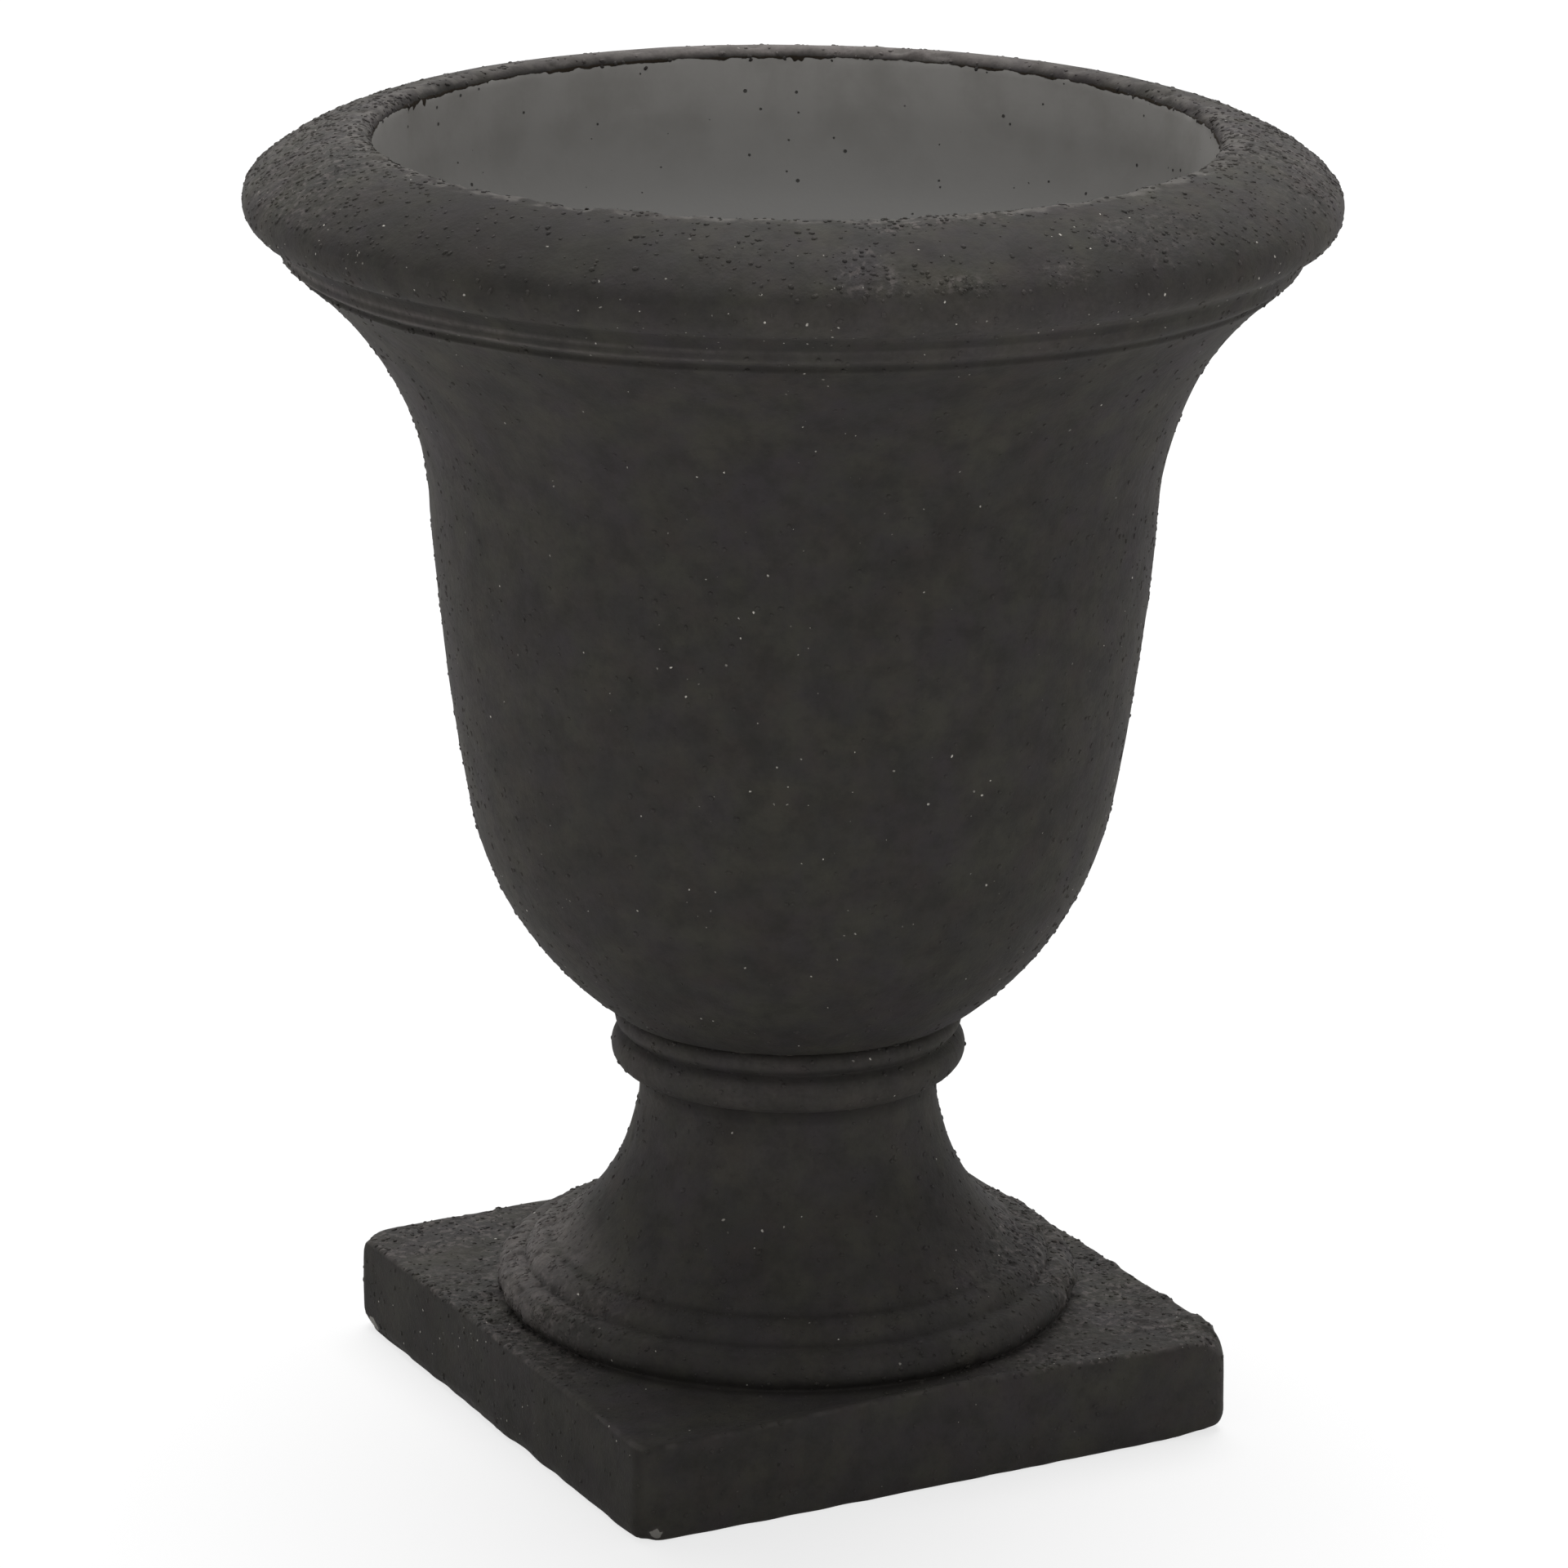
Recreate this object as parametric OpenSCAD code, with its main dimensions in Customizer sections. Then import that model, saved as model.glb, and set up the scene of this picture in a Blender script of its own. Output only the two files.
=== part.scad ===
// Garden urn of dark cast stone: a bell-shaped bowl on a turned pedestal with a square plinth.
// Millimetres, +Z up, origin at the centre of the plinth's underside.

/* [Mouth and rim] */
// Radius of the mouth, at the lip
mouth_r = 200; // [180:1:220]
// Width of the rolled rim, from the mouth to its outer face
rim_w = 60.6; // [52:0.2:72]
// Height of the bowl, from its seat to the top of the rim
bowl_h = 432; // [410:1:470]
// Width from the mouth to the crest of the roll
crest_w = 8; // [7.5:0.5:10]
// Radius of the rolled rim's outer nose
nose_r = 14; // [12:0.5:16]
// Depth of the nose's centre below the top of the rim
nose_drop = 31.5; // [28:0.5:34]
// Angle below level at which the nose's round begins
nose_under = 58; // [50:1:64]
// Angle above level at which it passes into the roll's back
nose_over = 48; // [42:1:54]
// Radius of the small round on the lip
lip_round = 5.5; // [3:0.5:7]
// Height of the plain band under the rolled rim
band_h = 4.8; // [3:0.2:6]
// Height of the hollow between that band and the roll
cavetto_h = 9.3; // [7:0.1:11]
// Width of that hollow
cavetto_w = 11.5; // [10:0.5:13]
// Depth that the hollow is bowed in by
cavetto_bow = 2.6; // [1:0.1:3.5]
// Width of the step under the band
step_w = 7.2; // [6:0.2:8.4]
// Height of that step
step_h = 3; // [2:0.5:4]
// Height of the groove between the step and the flare
groove_h = 3.8; // [3:0.2:5]
// Width of that groove
groove_w = 1.7; // [1:0.1:2.4]
// Radius of the thin bead that closes the flare
thin_bead_s = 1.6; // [1.2:0.1:2]
// Reach of that bead's crown beyond the top of the flare
thin_bead_w = 2.6; // [2:0.1:3]

/* [Bell of the bowl] */
// Radius of the bowl's foot, where it sits on the pedestal
seat_r = 87.5; // [86:0.5:92]
// Radius where the rounded bottom turns into the side
belly_r = 156.4; // [148:0.2:164]
// Height of that place above the seat
belly_h = 106.2; // [98:0.2:116]
// Outward bow of the rounded bottom
belly_bow = 12.7; // [10:0.1:15]
// Radius where the side starts to flare
side_r = 174.7; // [168:0.1:182]
// Height of that place above the seat
side_h = 254; // [240:1:266]
// Outward bow of the side
side_bow = 2.4; // [1.5:0.1:4]
// Inward bow of the flare
flare_bow = 13.6; // [11:0.1:16]
// Thickness of the bowl's wall
wall_t = 21; // [16:0.5:26]
// Thickness of the bowl's floor
floor_t = 28.5; // [24:0.5:34]
// Distance of the throat inside the mouth, where the inner wall turns upright
throat_w = 13.5; // [10:0.5:17]
// Depth of the throat below the top of the rim
throat_drop = 75.5; // [66:0.5:84]
// Draft of the inner wall between the throat and the lip
lip_draft = 1; // [0.5:0.5:2]

/* [Pedestal] */
// Height of the pedestal, to the face that the bowl is bedded on
pedestal_h = 197.5; // [190:0.5:215]
// Length of a side of the square plinth
plinth_w = 323; // [306:1:340]
// Height of the plinth
plinth_h = 49; // [42:1:56]
// Radius of the plinth's upright corners
plinth_corner_r = 10; // [8:0.5:14]
// Radius of the round along the plinth's top and bottom edges
plinth_edge_r = 2.5; // [2:0.5:5]
// Outer radius of the large ring on the plinth
foot_ring_r = 146.8; // [142:0.2:150]
// Radius of that ring's own section
foot_ring_s = 10; // [9:0.5:11]
// Height of that ring's centre above the plinth
foot_ring_lift = 8.5; // [7:0.5:9]
// Height above the plinth of the groove between that ring and the bead
foot_groove_h = 16; // [14:0.5:17.5]
// Outer radius of the small bead above it
foot_bead_r = 125; // [121:0.5:128]
// Radius of that bead's own section
foot_bead_s = 5.5; // [4:0.5:6.5]
// Height of the neck of the groove, under the bead
foot_bead_lift = 1; // [0.5:0.5:2]
// Depth of the sweep's lower end below the top of that bead
foot_bead_proud = 2.8; // [1.5:0.1:4]
// Inward bow of the sweep between that bead and the neck
scotia_bow = 7.6; // [6:0.1:9]
// Radius of the neck at its waist
neck_r = 72.8; // [68:0.2:76]
// Depth of the waist below the bedding face
waist_drop = 45; // [41:0.5:49]
// Height of the neck's narrow part below the waist
neck_h = 13; // [8:0.5:18]
// Width that the neck gains over that height
neck_spread = 3; // [2:0.5:5]
// Inward bow of that narrow part
neck_bow = 0.2; // [0.2:0.1:1]
// Width that the neck gains from the waist up to the collar
neck_gain = 0.5; // [0:0.5:3]
// Outer radius of the collar's large ring
collar_r = 87.2; // [84:0.2:90]
// Radius of that ring's own section
collar_s = 10.4; // [9:0.2:12.4]
// Depth that the collar's ring and bead run into each other
collar_merge = 0.8; // [0.4:0.1:1.5]
// Outer radius of the bead on top of the collar
collar_bead_r = 85.7; // [82:0.2:86]
// Radius of that bead's own section
collar_bead_s = 5.3; // [4:0.1:6]

/* [Hollow of the pedestal] */
// Radius of the hollow at the plinth's underside
core_mouth_r = 115; // [108:1:122]
// Radius of the hollow at its top
core_top_r = 42; // [40:0.5:45]
// Thickness of the deck that the bowl is bolted down on
deck_t = 47.5; // [42:0.5:54]
// Height of the hollow's upright part, at the plinth
core_low_h = 41; // [34:1:46]
// Draft of the hollow over that height
core_draft = 6; // [3:0.5:9]
// Height of the hollow's narrow part, under the deck
core_high_h = 32; // [28:1:40]
// Draft of the hollow over that height
core_high_draft = 8; // [5:0.5:10]
// Inward bow of the hollow between those parts
core_bow = 11; // [8:0.5:13]

/* [Bed, fixing and drain] */
// Thickness of the mortar bed between the castings
bed_t = 2; // [1.5:0.5:4]
// Depth of the bed's edge behind the bead on the collar
bed_inset = 2.7; // [1.5:0.1:4]
// Outside radius of the threaded drain tube
tube_r = 10.5; // [9:0.25:12]
// Wall of the drain tube
tube_wall = 3; // [2:0.25:4]
// Gap between the tube and the holes in the castings
hole_gap = 1.5; // [1:0.25:3]
// Gap between the tube and the nuts and plates on it
thread_gap = 0.1; // [0.05:0.05:0.3]
// Length of tube that stands out beyond each nut
tube_end = 4; // [2:0.5:6]
// Width of each nut across its flats
nut_af = 32; // [30:0.5:34]
// Height of each nut
nut_h = 10; // [8:0.5:12]
// Chamfer on each nut's corners
nut_chamfer = 1.2; // [0.6:0.2:1.6]
// Radius of the rubber gasket on the bowl's floor
gasket_r = 35; // [33:0.5:36]
// Thickness of the gasket
gasket_t = 4; // [3:0.5:5]
// Radius of the steel washer on the gasket
washer_r = 32; // [29:0.5:33]
// Thickness of that washer
washer_t = 3; // [2:0.5:4]
// Radius of the clamp plate under the deck
plate_r = 36; // [32:0.5:38]
// Thickness of the clamp plate
plate_t = 5; // [4:0.5:7]
// Radius of the lock washer under the clamp plate
lock_r = 18; // [17:0.5:20]
// Thickness of the lock washer
lock_t = 2.5; // [2:0.5:3]

/* [Drain screen] */
// Radius of the screen's flange
screen_r = 48; // [47:0.5:54]
// Width of the flange
flange_w = 8; // [6:0.5:9]
// Thickness of the screen
screen_t = 2; // [1.5:0.25:3]
// Height of the dome above the bowl's floor
dome_h = 28; // [27:0.5:34]
// Number of drain slots
slot_n = 16; // [12:1:18]
// Width of each slot
slot_w = 2.5; // [2:0.25:3]
// Radius at which the slots begin
slot_in = 14; // [13:0.5:16]
// Width of plain dome between the slots and the flange
dome_margin = 5; // [4:0.5:7]
// Gap between the flange and the foot of the bowl's inner curve
screen_gap = 2; // [1:0.5:4]

/* [Hidden] */
$fn = 120;
// Facets of a full circle in the long arcs of the outlines
arc_facets = 240;
// Far enough to reach past any outline here
far = 1000;
// Depth by which a cutter passes the face it cuts
past = 1;

// Heights, from the plinth up
seat_z = pedestal_h + bed_t;
rim_z = seat_z + bowl_h;
floor_z = seat_z + floor_t;
deck_z = pedestal_h - deck_t;
hole_r = tube_r + hole_gap;

// Outline of the bowl's outside: each point is [radius, height]
rim_r = mouth_r + rim_w;
nose_c = [rim_r - nose_r, rim_z - nose_drop];
nose_low = nose_c + nose_r * [cos(nose_under), -sin(nose_under)];
nose_high = nose_c + nose_r * [cos(nose_over), sin(nose_over)];
nose_bow = nose_r * (1 - cos((nose_under + nose_over) / 2));
crest = [mouth_r + crest_w, rim_z];
crest_bow = leaving_bow(nose_high, crest, 90 + nose_over);
band_top = nose_low - [cavetto_w, cavetto_h];
band_low = band_top - [0, band_h];
groove_top = band_low - [step_w, step_h];
flare_top = groove_top - [groove_w, groove_h];
thin_bead_z = flare_top.y + thin_bead_s;
foot_pt = [seat_r, seat_z];
belly_pt = [belly_r, seat_z + belly_h];
side_pt = [side_r, seat_z + side_h];

// Outline of the bowl's inside, a wall's thickness in from the outside up to the flare
belly_in = inward(belly_pt, end_angle(foot_pt, belly_pt, belly_bow), wall_t);
side_in = inward(side_pt, end_angle(belly_pt, side_pt, side_bow), wall_t);
side_in_bow = bow_of(arc_radius(belly_pt, side_pt, side_bow) - wall_t, norm(side_in - belly_in));
floor_edge = [screen_r + screen_gap, floor_z];
belly_in_bow = arriving_bow(floor_edge, belly_in, end_angle(foot_pt, belly_pt, belly_bow));
throat_in = [mouth_r - throat_w, rim_z - throat_drop];
throat_bow = leaving_bow(side_in, throat_in, end_angle(belly_in, side_in, side_in_bow));
lip_in = [mouth_r - lip_draft, rim_z - nose_drop];
lip_in_bow = leaving_bow(throat_in, lip_in, end_angle(side_in, throat_in, throat_bow));
lip_low = [mouth_r, rim_z - lip_round];
lip_top = [mouth_r + lip_round, rim_z];
lip_bow = bow_of(lip_round, norm(lip_top - lip_low));

// Outline of the pedestal
foot_ring_c = [foot_ring_r - foot_ring_s, plinth_h + foot_ring_lift];
groove_z = plinth_h + foot_groove_h;
foot_bead_c = [foot_bead_r - foot_bead_s, groove_z + foot_bead_lift + foot_bead_s];
scotia_low = foot_bead_c + [0, foot_bead_s - foot_bead_proud];
waist_pt = [neck_r, pedestal_h - waist_drop];
scotia_high = waist_pt + [neck_spread, -neck_h];
collar_bead_c = [collar_bead_r - collar_bead_s, pedestal_h - collar_bead_s];
collar_c = [collar_r - collar_s, collar_bead_c.y - collar_bead_s - collar_s + collar_merge];

// Outline of the pedestal's hollow
core_low = [core_mouth_r - core_draft, core_low_h];
core_high = [core_top_r + core_high_draft, deck_z - core_high_h];

// Heights of the fixing, from the bowl's floor up and from the deck down
washer_z = floor_z + gasket_t;
nut_z = washer_z + washer_t;
tube_top = nut_z + nut_h + tube_end;
plate_z = deck_z - plate_t;
lock_z = plate_z - lock_t;
clamp_nut_z = lock_z - nut_h;
tube_low = clamp_nut_z - tube_end;

stone = [0.2, 0.19, 0.18];
mortar = [0.3, 0.29, 0.27];
zinc = [0.62, 0.63, 0.64];
rubber_black = [0.1, 0.1, 0.1];
screen_grey = [0.35, 0.36, 0.36];

// Unit vector to the right of the way from p to q, which points away from the axis on the way up
function right_of(p, q) = [q.y - p.y, p.x - q.x] / norm(q - p);
// Radius of the arc from p to q that bows out by b, or in where b is negative
function arc_radius(p, q, b) = (norm(q - p) ^ 2 / 4 + b ^ 2) / (2 * abs(b));
// Centre of that arc
function arc_centre(p, q, b) = (p + q) / 2 + right_of(p, q) * (b - sign(b) * arc_radius(p, q, b));
// Direction of the straight way from p to q
function chord_angle(p, q) = atan2(q.y - p.y, q.x - p.x);
// Direction of that arc where it reaches q
function end_angle(p, q, b) = chord_angle(p, q) + 2 * atan(2 * b / norm(q - p));
// Bow of an arc of radius r over a chord of length c
function bow_of(r, c) = r - sqrt(r ^ 2 - c ^ 2 / 4);
// Bow of the arc from p to q that leaves p in direction a
function leaving_bow(p, q, a) = norm(q - p) / 2 * tan((chord_angle(p, q) - a) / 2);
// Bow of the arc from p to q that reaches q in direction a
function arriving_bow(p, q, a) = norm(q - p) / 2 * tan((a - chord_angle(p, q)) / 2);
// The point a distance t inside p, square to the direction a
function inward(p, a, t) = p + t * [-sin(a), cos(a)];

// The area between the axis and the straight line from p to q
module straight_band(p, q) {
  polygon([[0, p.y], p, q, [0, q.y]]);
}

// The area between the axis and the arc from p to q with the bow b. The part of the circle that
// makes an outward bow reaches in to the axis, so that the two areas overlap and not just touch.
module arc_band(p, q, b) {
  if (b > 0) {
    straight_band(p, q);
    intersection() {
      translate(arc_centre(p, q, b)) circle(arc_radius(p, q, b), $fn = arc_facets);
      polygon([[0, (p.y + q.y) / 2], p, p + right_of(p, q) * far, q + right_of(p, q) * far, q]);
    }
  } else {
    difference() {
      straight_band(p, q);
      translate(arc_centre(p, q, b)) circle(arc_radius(p, q, b), $fn = arc_facets);
    }
  }
}

// The section of a bead of radius r round the point c
module bead(c, r) {
  translate(c) circle(r);
}

// A flat ring or disc with a round hole
module ring(outer, inner, h) {
  difference() {
    cylinder(r = outer, h = h);
    translate([0, 0, -past]) cylinder(r = inner, h = h + 2 * past);
  }
}

// A hexagon nut on the drain tube, with its corners turned off at both faces
module hex_nut() {
  corner_r = nut_af / 2 / cos(30);
  face_r = corner_r - nut_chamfer;
  difference() {
    intersection() {
      cylinder(r = corner_r, h = nut_h, $fn = 6);
      rotate_extrude()
        polygon([[0, 0], [face_r, 0], [corner_r, nut_chamfer], [corner_r, nut_h - nut_chamfer],
                 [face_r, nut_h], [0, nut_h]]);
    }
    translate([0, 0, -past]) cylinder(r = tube_r + thread_gap, h = nut_h + 2 * past);
  }
}

// The section of a slab's outer edge: width wide, h high, its two outer corners rounded by edge
module edge_section(width, h, edge) {
  square([width - edge, h]);
  translate([0, edge]) square([width, h - 2 * edge]);
  for (z = [edge, h - edge])
    translate([width - edge, z]) circle(edge);
}

// A square slab with upright corners of radius corner and all its long edges rounded by edge
module rounded_slab(w, h, corner, edge) {
  flat = w - 2 * corner;
  translate([-flat / 2, -flat / 2, 0]) cube([flat, flat, h]);
  for (turn = [0 : 90 : 270])
    rotate(turn) {
      translate([-flat / 2, flat / 2, 0])
        rotate([90, 0, 90]) linear_extrude(flat) edge_section(corner, h, edge);
      translate([flat / 2, flat / 2, 0])
        rotate_extrude(angle = 90) edge_section(corner, h, edge);
    }
}

module pedestal_outline() {
  straight_band([foot_ring_c.x, plinth_h - past], [foot_ring_c.x, groove_z]);
  bead(foot_ring_c, foot_ring_s);
  straight_band([foot_bead_c.x, groove_z - past], scotia_low);
  bead(foot_bead_c, foot_bead_s);
  arc_band(scotia_low, scotia_high, -scotia_bow);
  arc_band(scotia_high, waist_pt, -neck_bow);
  straight_band(waist_pt, [neck_r + neck_gain, collar_c.y]);
  bead(collar_c, collar_s);
  straight_band(collar_c, [collar_bead_c.x, pedestal_h]);
  bead(collar_bead_c, collar_bead_s);
}

module core_outline() {
  straight_band([core_mouth_r, -past], core_low);
  arc_band(core_low, core_high, -core_bow);
  straight_band(core_high, [core_top_r, deck_z]);
}

module pedestal() {
  color(stone)
    difference() {
      union() {
        rounded_slab(plinth_w, plinth_h, plinth_corner_r, plinth_edge_r);
        rotate_extrude()
          intersection() {
            pedestal_outline();
            translate([0, plinth_h - past]) square(far);
          }
      }
      rotate_extrude() core_outline();
      cylinder(r = hole_r, h = pedestal_h + past);
    }
}

module setting_bed() {
  color(mortar)
    translate([0, 0, pedestal_h]) ring(collar_bead_r - bed_inset, hole_r, bed_t);
}

module bowl_outside() {
  arc_band(foot_pt, belly_pt, belly_bow);
  arc_band(belly_pt, side_pt, side_bow);
  arc_band(side_pt, flare_top, -flare_bow);
  straight_band(flare_top, groove_top);
  bead([flare_top.x + thin_bead_w - thin_bead_s, thin_bead_z], thin_bead_s);
  straight_band(groove_top, band_low);
  straight_band(band_low, band_top);
  arc_band(band_top, nose_low, -cavetto_bow);
  arc_band(nose_low, nose_high, nose_bow);
  arc_band(nose_high, crest, crest_bow);
}

module bowl_inside() {
  arc_band(floor_edge, belly_in, belly_in_bow);
  arc_band(belly_in, side_in, side_in_bow);
  arc_band(side_in, throat_in, throat_bow);
  arc_band(throat_in, lip_in, lip_in_bow);
  straight_band(lip_in, lip_low);
  arc_band(lip_low, lip_top, -lip_bow);
  straight_band(lip_top, lip_top + [0, past]);
}

module bowl() {
  color(stone)
    difference() {
      rotate_extrude()
        difference() {
          bowl_outside();
          bowl_inside();
        }
      translate([0, 0, seat_z - past]) cylinder(r = hole_r, h = floor_t + 2 * past);
    }
}

module drain_tube() {
  color(zinc)
    translate([0, 0, tube_low]) ring(tube_r, tube_r - tube_wall, tube_top - tube_low);
}

module bowl_gasket() {
  color(rubber_black)
    translate([0, 0, floor_z]) ring(gasket_r, tube_r + thread_gap, gasket_t);
}

module bowl_washer() {
  color(zinc)
    translate([0, 0, washer_z]) ring(washer_r, tube_r + thread_gap, washer_t);
}

module bowl_nut() {
  color(zinc) translate([0, 0, nut_z]) hex_nut();
}

// The section of a ball of the given radius above the level 0, with its centre at centre_z
module dome_cap(radius, centre_z) {
  intersection() {
    translate([0, centre_z]) circle(radius);
    square(far);
  }
}

module drain_screen() {
  dome_foot = screen_r - flange_w;
  dome_r = (dome_foot ^ 2 + dome_h ^ 2) / (2 * dome_h);
  dome_c = dome_h - dome_r;
  slot_out = dome_foot - dome_margin;
  color(screen_grey)
    translate([0, 0, floor_z])
      difference() {
        rotate_extrude()
          difference() {
            union() {
              dome_cap(dome_r, dome_c);
              square([screen_r, screen_t]);
            }
            dome_cap(dome_r - screen_t, dome_c);
          }
        for (i = [0 : slot_n - 1])
          rotate(i * 360 / slot_n)
            translate([0, 0, screen_t])
              linear_extrude(dome_h) {
                translate([slot_in, -slot_w / 2]) square([slot_out - slot_in, slot_w]);
                translate([slot_in, 0]) circle(slot_w / 2);
                translate([slot_out, 0]) circle(slot_w / 2);
              }
      }
}

module clamp_plate() {
  color(zinc)
    translate([0, 0, plate_z]) ring(plate_r, tube_r + thread_gap, plate_t);
}

module lock_washer() {
  color(zinc)
    translate([0, 0, lock_z]) ring(lock_r, tube_r + thread_gap, lock_t);
}

module clamp_nut() {
  color(zinc) translate([0, 0, clamp_nut_z]) hex_nut();
}

pedestal();
setting_bed();
bowl();
drain_tube();
bowl_gasket();
bowl_washer();
bowl_nut();
drain_screen();
clamp_plate();
lock_washer();
clamp_nut();
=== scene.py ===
# Garden urn of dark cast stone on a turned pedestal. Metres, +Z up, plinth sides along X and Y.

from functools import partial
from itertools import combinations
from math import acos, asin, atan, atan2, copysign, cos, hypot, pi, radians, sin, sqrt, tan

import bpy
import numpy as np
from numpy.linalg import det, norm
from mathutils import Matrix, Vector


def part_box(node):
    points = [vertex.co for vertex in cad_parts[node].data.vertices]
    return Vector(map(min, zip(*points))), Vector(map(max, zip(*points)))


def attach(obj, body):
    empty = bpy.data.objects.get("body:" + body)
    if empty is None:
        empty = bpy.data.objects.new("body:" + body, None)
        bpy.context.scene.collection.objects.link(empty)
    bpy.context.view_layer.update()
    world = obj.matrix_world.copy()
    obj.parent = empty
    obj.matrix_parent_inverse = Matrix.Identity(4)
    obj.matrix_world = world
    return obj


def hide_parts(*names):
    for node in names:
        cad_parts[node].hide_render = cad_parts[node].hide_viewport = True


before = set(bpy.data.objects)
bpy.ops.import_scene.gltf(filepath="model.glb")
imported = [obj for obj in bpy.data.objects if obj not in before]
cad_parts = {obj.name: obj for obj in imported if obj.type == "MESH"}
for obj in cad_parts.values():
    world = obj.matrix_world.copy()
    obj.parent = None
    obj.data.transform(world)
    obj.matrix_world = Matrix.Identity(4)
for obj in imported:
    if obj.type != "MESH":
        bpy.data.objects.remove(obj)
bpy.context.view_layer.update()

# Sizes that the frame holds
BOWL_LOW, BOWL_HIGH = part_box("bowl")
PEDESTAL_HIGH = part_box("pedestal")[1]
BED_LOW, BED_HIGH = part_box("setting_bed")
TUBE_LOW, TUBE_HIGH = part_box("drain_tube")
SEAT_Z = BOWL_LOW.z
RIM_Z = BOWL_HIGH.z
RIM_R = BOWL_HIGH.x
PLINTH_HALF = PEDESTAL_HIGH.x
PEDESTAL_Z = PEDESTAL_HIGH.z
TUBE_R = TUBE_HIGH.x

# Rolled rim, from the mouth outwards
MOUTH_R = 0.2
LIP_ROUND = 0.0055
CREST_R = MOUTH_R + 0.008
NOSE_R = 0.014
NOSE_DROP = 0.0315
NOSE_UNDER = radians(58)
NOSE_OVER = radians(48)
CAVETTO = (0.0115, 0.0093)
CAVETTO_BOW = 0.0026
BAND_H = 0.0048
STEP = (0.0072, 0.003)
GROOVE = (0.0017, 0.0038)
THIN_BEAD = 0.0016

# Bell of the bowl
SEAT_R = 0.0875
BELLY = (0.1564, 0.1062)
BELLY_BOW = 0.0127
SIDE = (0.1747, 0.254)
SIDE_BOW = 0.0024
FLARE_BOW = 0.0136
WALL = 0.021
FLOOR_Z = SEAT_Z + 0.0285
FLOOR_EDGE_R = 0.05
THROAT = (0.0135, 0.0755)
LIP_DRAFT = 0.001
HOLE_R = 0.012

# Pedestal, from the plinth up
PLINTH_H = 0.049
PLINTH_CORNER = 0.01
PLINTH_EDGE = 0.0025
FOOT_RING = (0.1368, PLINTH_H + 0.0085)
FOOT_RING_S = 0.01
FOOT_BEAD = (0.1195, PLINTH_H + 0.0225)
FOOT_BEAD_S = 0.0055
FOOT_BEAD_PROUD = 0.0028
FOOT_CREASE = (0.13, PLINTH_H + 0.0178)
FOOT_BEAD_BOW = 0.003
NECK_R = 0.0728
WAIST_Z = PEDESTAL_Z - 0.045
NECK_LOW = (NECK_R + 0.003, WAIST_Z - 0.013)
NECK_TOP_R = NECK_R + 0.0005
NECK_BOW = 0.0002
SCOTIA_BOW = 0.0076
COLLAR_BEAD = (0.0804, PEDESTAL_Z - 0.0053)
COLLAR_BEAD_S = 0.0053
COLLAR = (0.0768, PEDESTAL_Z - 0.0202)
COLLAR_S = 0.0104
CORE_MOUTH_R = 0.115
CORE_LOW = (0.109, 0.041)
DECK_Z = PEDESTAL_Z - 0.0475
CORE_HIGH = (0.05, DECK_Z - 0.032)
CORE_TOP_R = 0.042
CORE_BOW = 0.011

# Where the photograph's camera stands, in the frame, and how it is turned
CAMERA_DISTANCE = 3.0787
CAMERA_HEIGHT = 1.2358
CAMERA_TURN = radians(28.07)
CAMERA_YAW = radians(-0.063)
CAMERA_PITCH = radians(16.76)
CAMERA_ROLL = radians(0.556)
CAMERA_LENS = 151.8

# Directions round the axis, as the camera sees the urn
TO_CAMERA = -pi / 2 - CAMERA_TURN
TO_RIGHT = -CAMERA_TURN
TO_LEFT = pi - CAMERA_TURN
TO_BACK = pi / 2 - CAMERA_TURN


# Outlines: every run is an array of [radius, height], and the solid lies to its left

def straight(start, end, step):
    """The straight way from start to end, in steps of about the given length."""
    start, end = np.array(start, float), np.array(end, float)
    count = max(1, round(norm(end - start) / step))
    return start + np.linspace(0, 1, count + 1)[:, None] * (end - start)


def bowed(start, end, bow, step):
    """The arc from start to end whose middle lies the length bow to the right of the straight way."""
    start, end = np.array(start, float), np.array(end, float)
    chord = norm(end - start)
    along = (end - start) / chord
    right = np.array([along[1], -along[0]])
    half = 2 * atan(2 * bow / chord)
    radius = chord / 2 / sin(half)
    count = max(2, round(2 * abs(half * radius) / step))
    turn = np.linspace(-half, half, count + 1)[:, None]
    middle = (start + end) / 2
    return middle + along * radius * np.sin(turn) + right * radius * (np.cos(turn) - cos(half))


def rounded(centre, radius, first, last, step):
    """The arc round centre from the angle first to the angle last."""
    count = max(2, round(abs(last - first) * radius / step))
    turn = np.linspace(first, last, count + 1)[:, None]
    return np.array(centre, float) + radius * np.hstack([np.cos(turn), np.sin(turn)])


def joined(*runs):
    """The runs one after another, with each shared end point kept once."""
    return np.vstack([runs[0]] + [run[1:] if np.allclose(run[0], last[-1]) else run
                                  for last, run in zip(runs, runs[1:])])


def length_and_direction(start, end):
    """Length and direction of the straight way from start to end."""
    way = np.subtract(end, start)
    return norm(way), atan2(way[1], way[0])


def end_direction(start, end, bow):
    """Direction of that bowed arc where it reaches its end."""
    length, direction = length_and_direction(start, end)
    return direction + 2 * atan(2 * bow / length)


def bow_leaving(start, end, direction):
    """Bow of the arc from start to end that leaves start in the given direction, and of the arc from end
    to start that leaves end in the opposite direction."""
    length, straight_on = length_and_direction(start, end)
    return length / 2 * tan((straight_on - direction) / 2)


# Rows and meshes: a row is a closed ring of points, and a skin is a list of rows that closes on itself

def turned(outline, columns):
    """Each point of the outline carried round the axis: (r cos a, r sin a, z) for even angles a. The
    radius is one number, or a column of one for each angle."""
    angle = np.arange(columns) * 2 * pi / columns
    ring = np.stack([np.cos(angle), np.sin(angle)], axis=1)
    return [np.hstack([r * ring, np.full((columns, 1), z)]) for r, z in outline]


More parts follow.
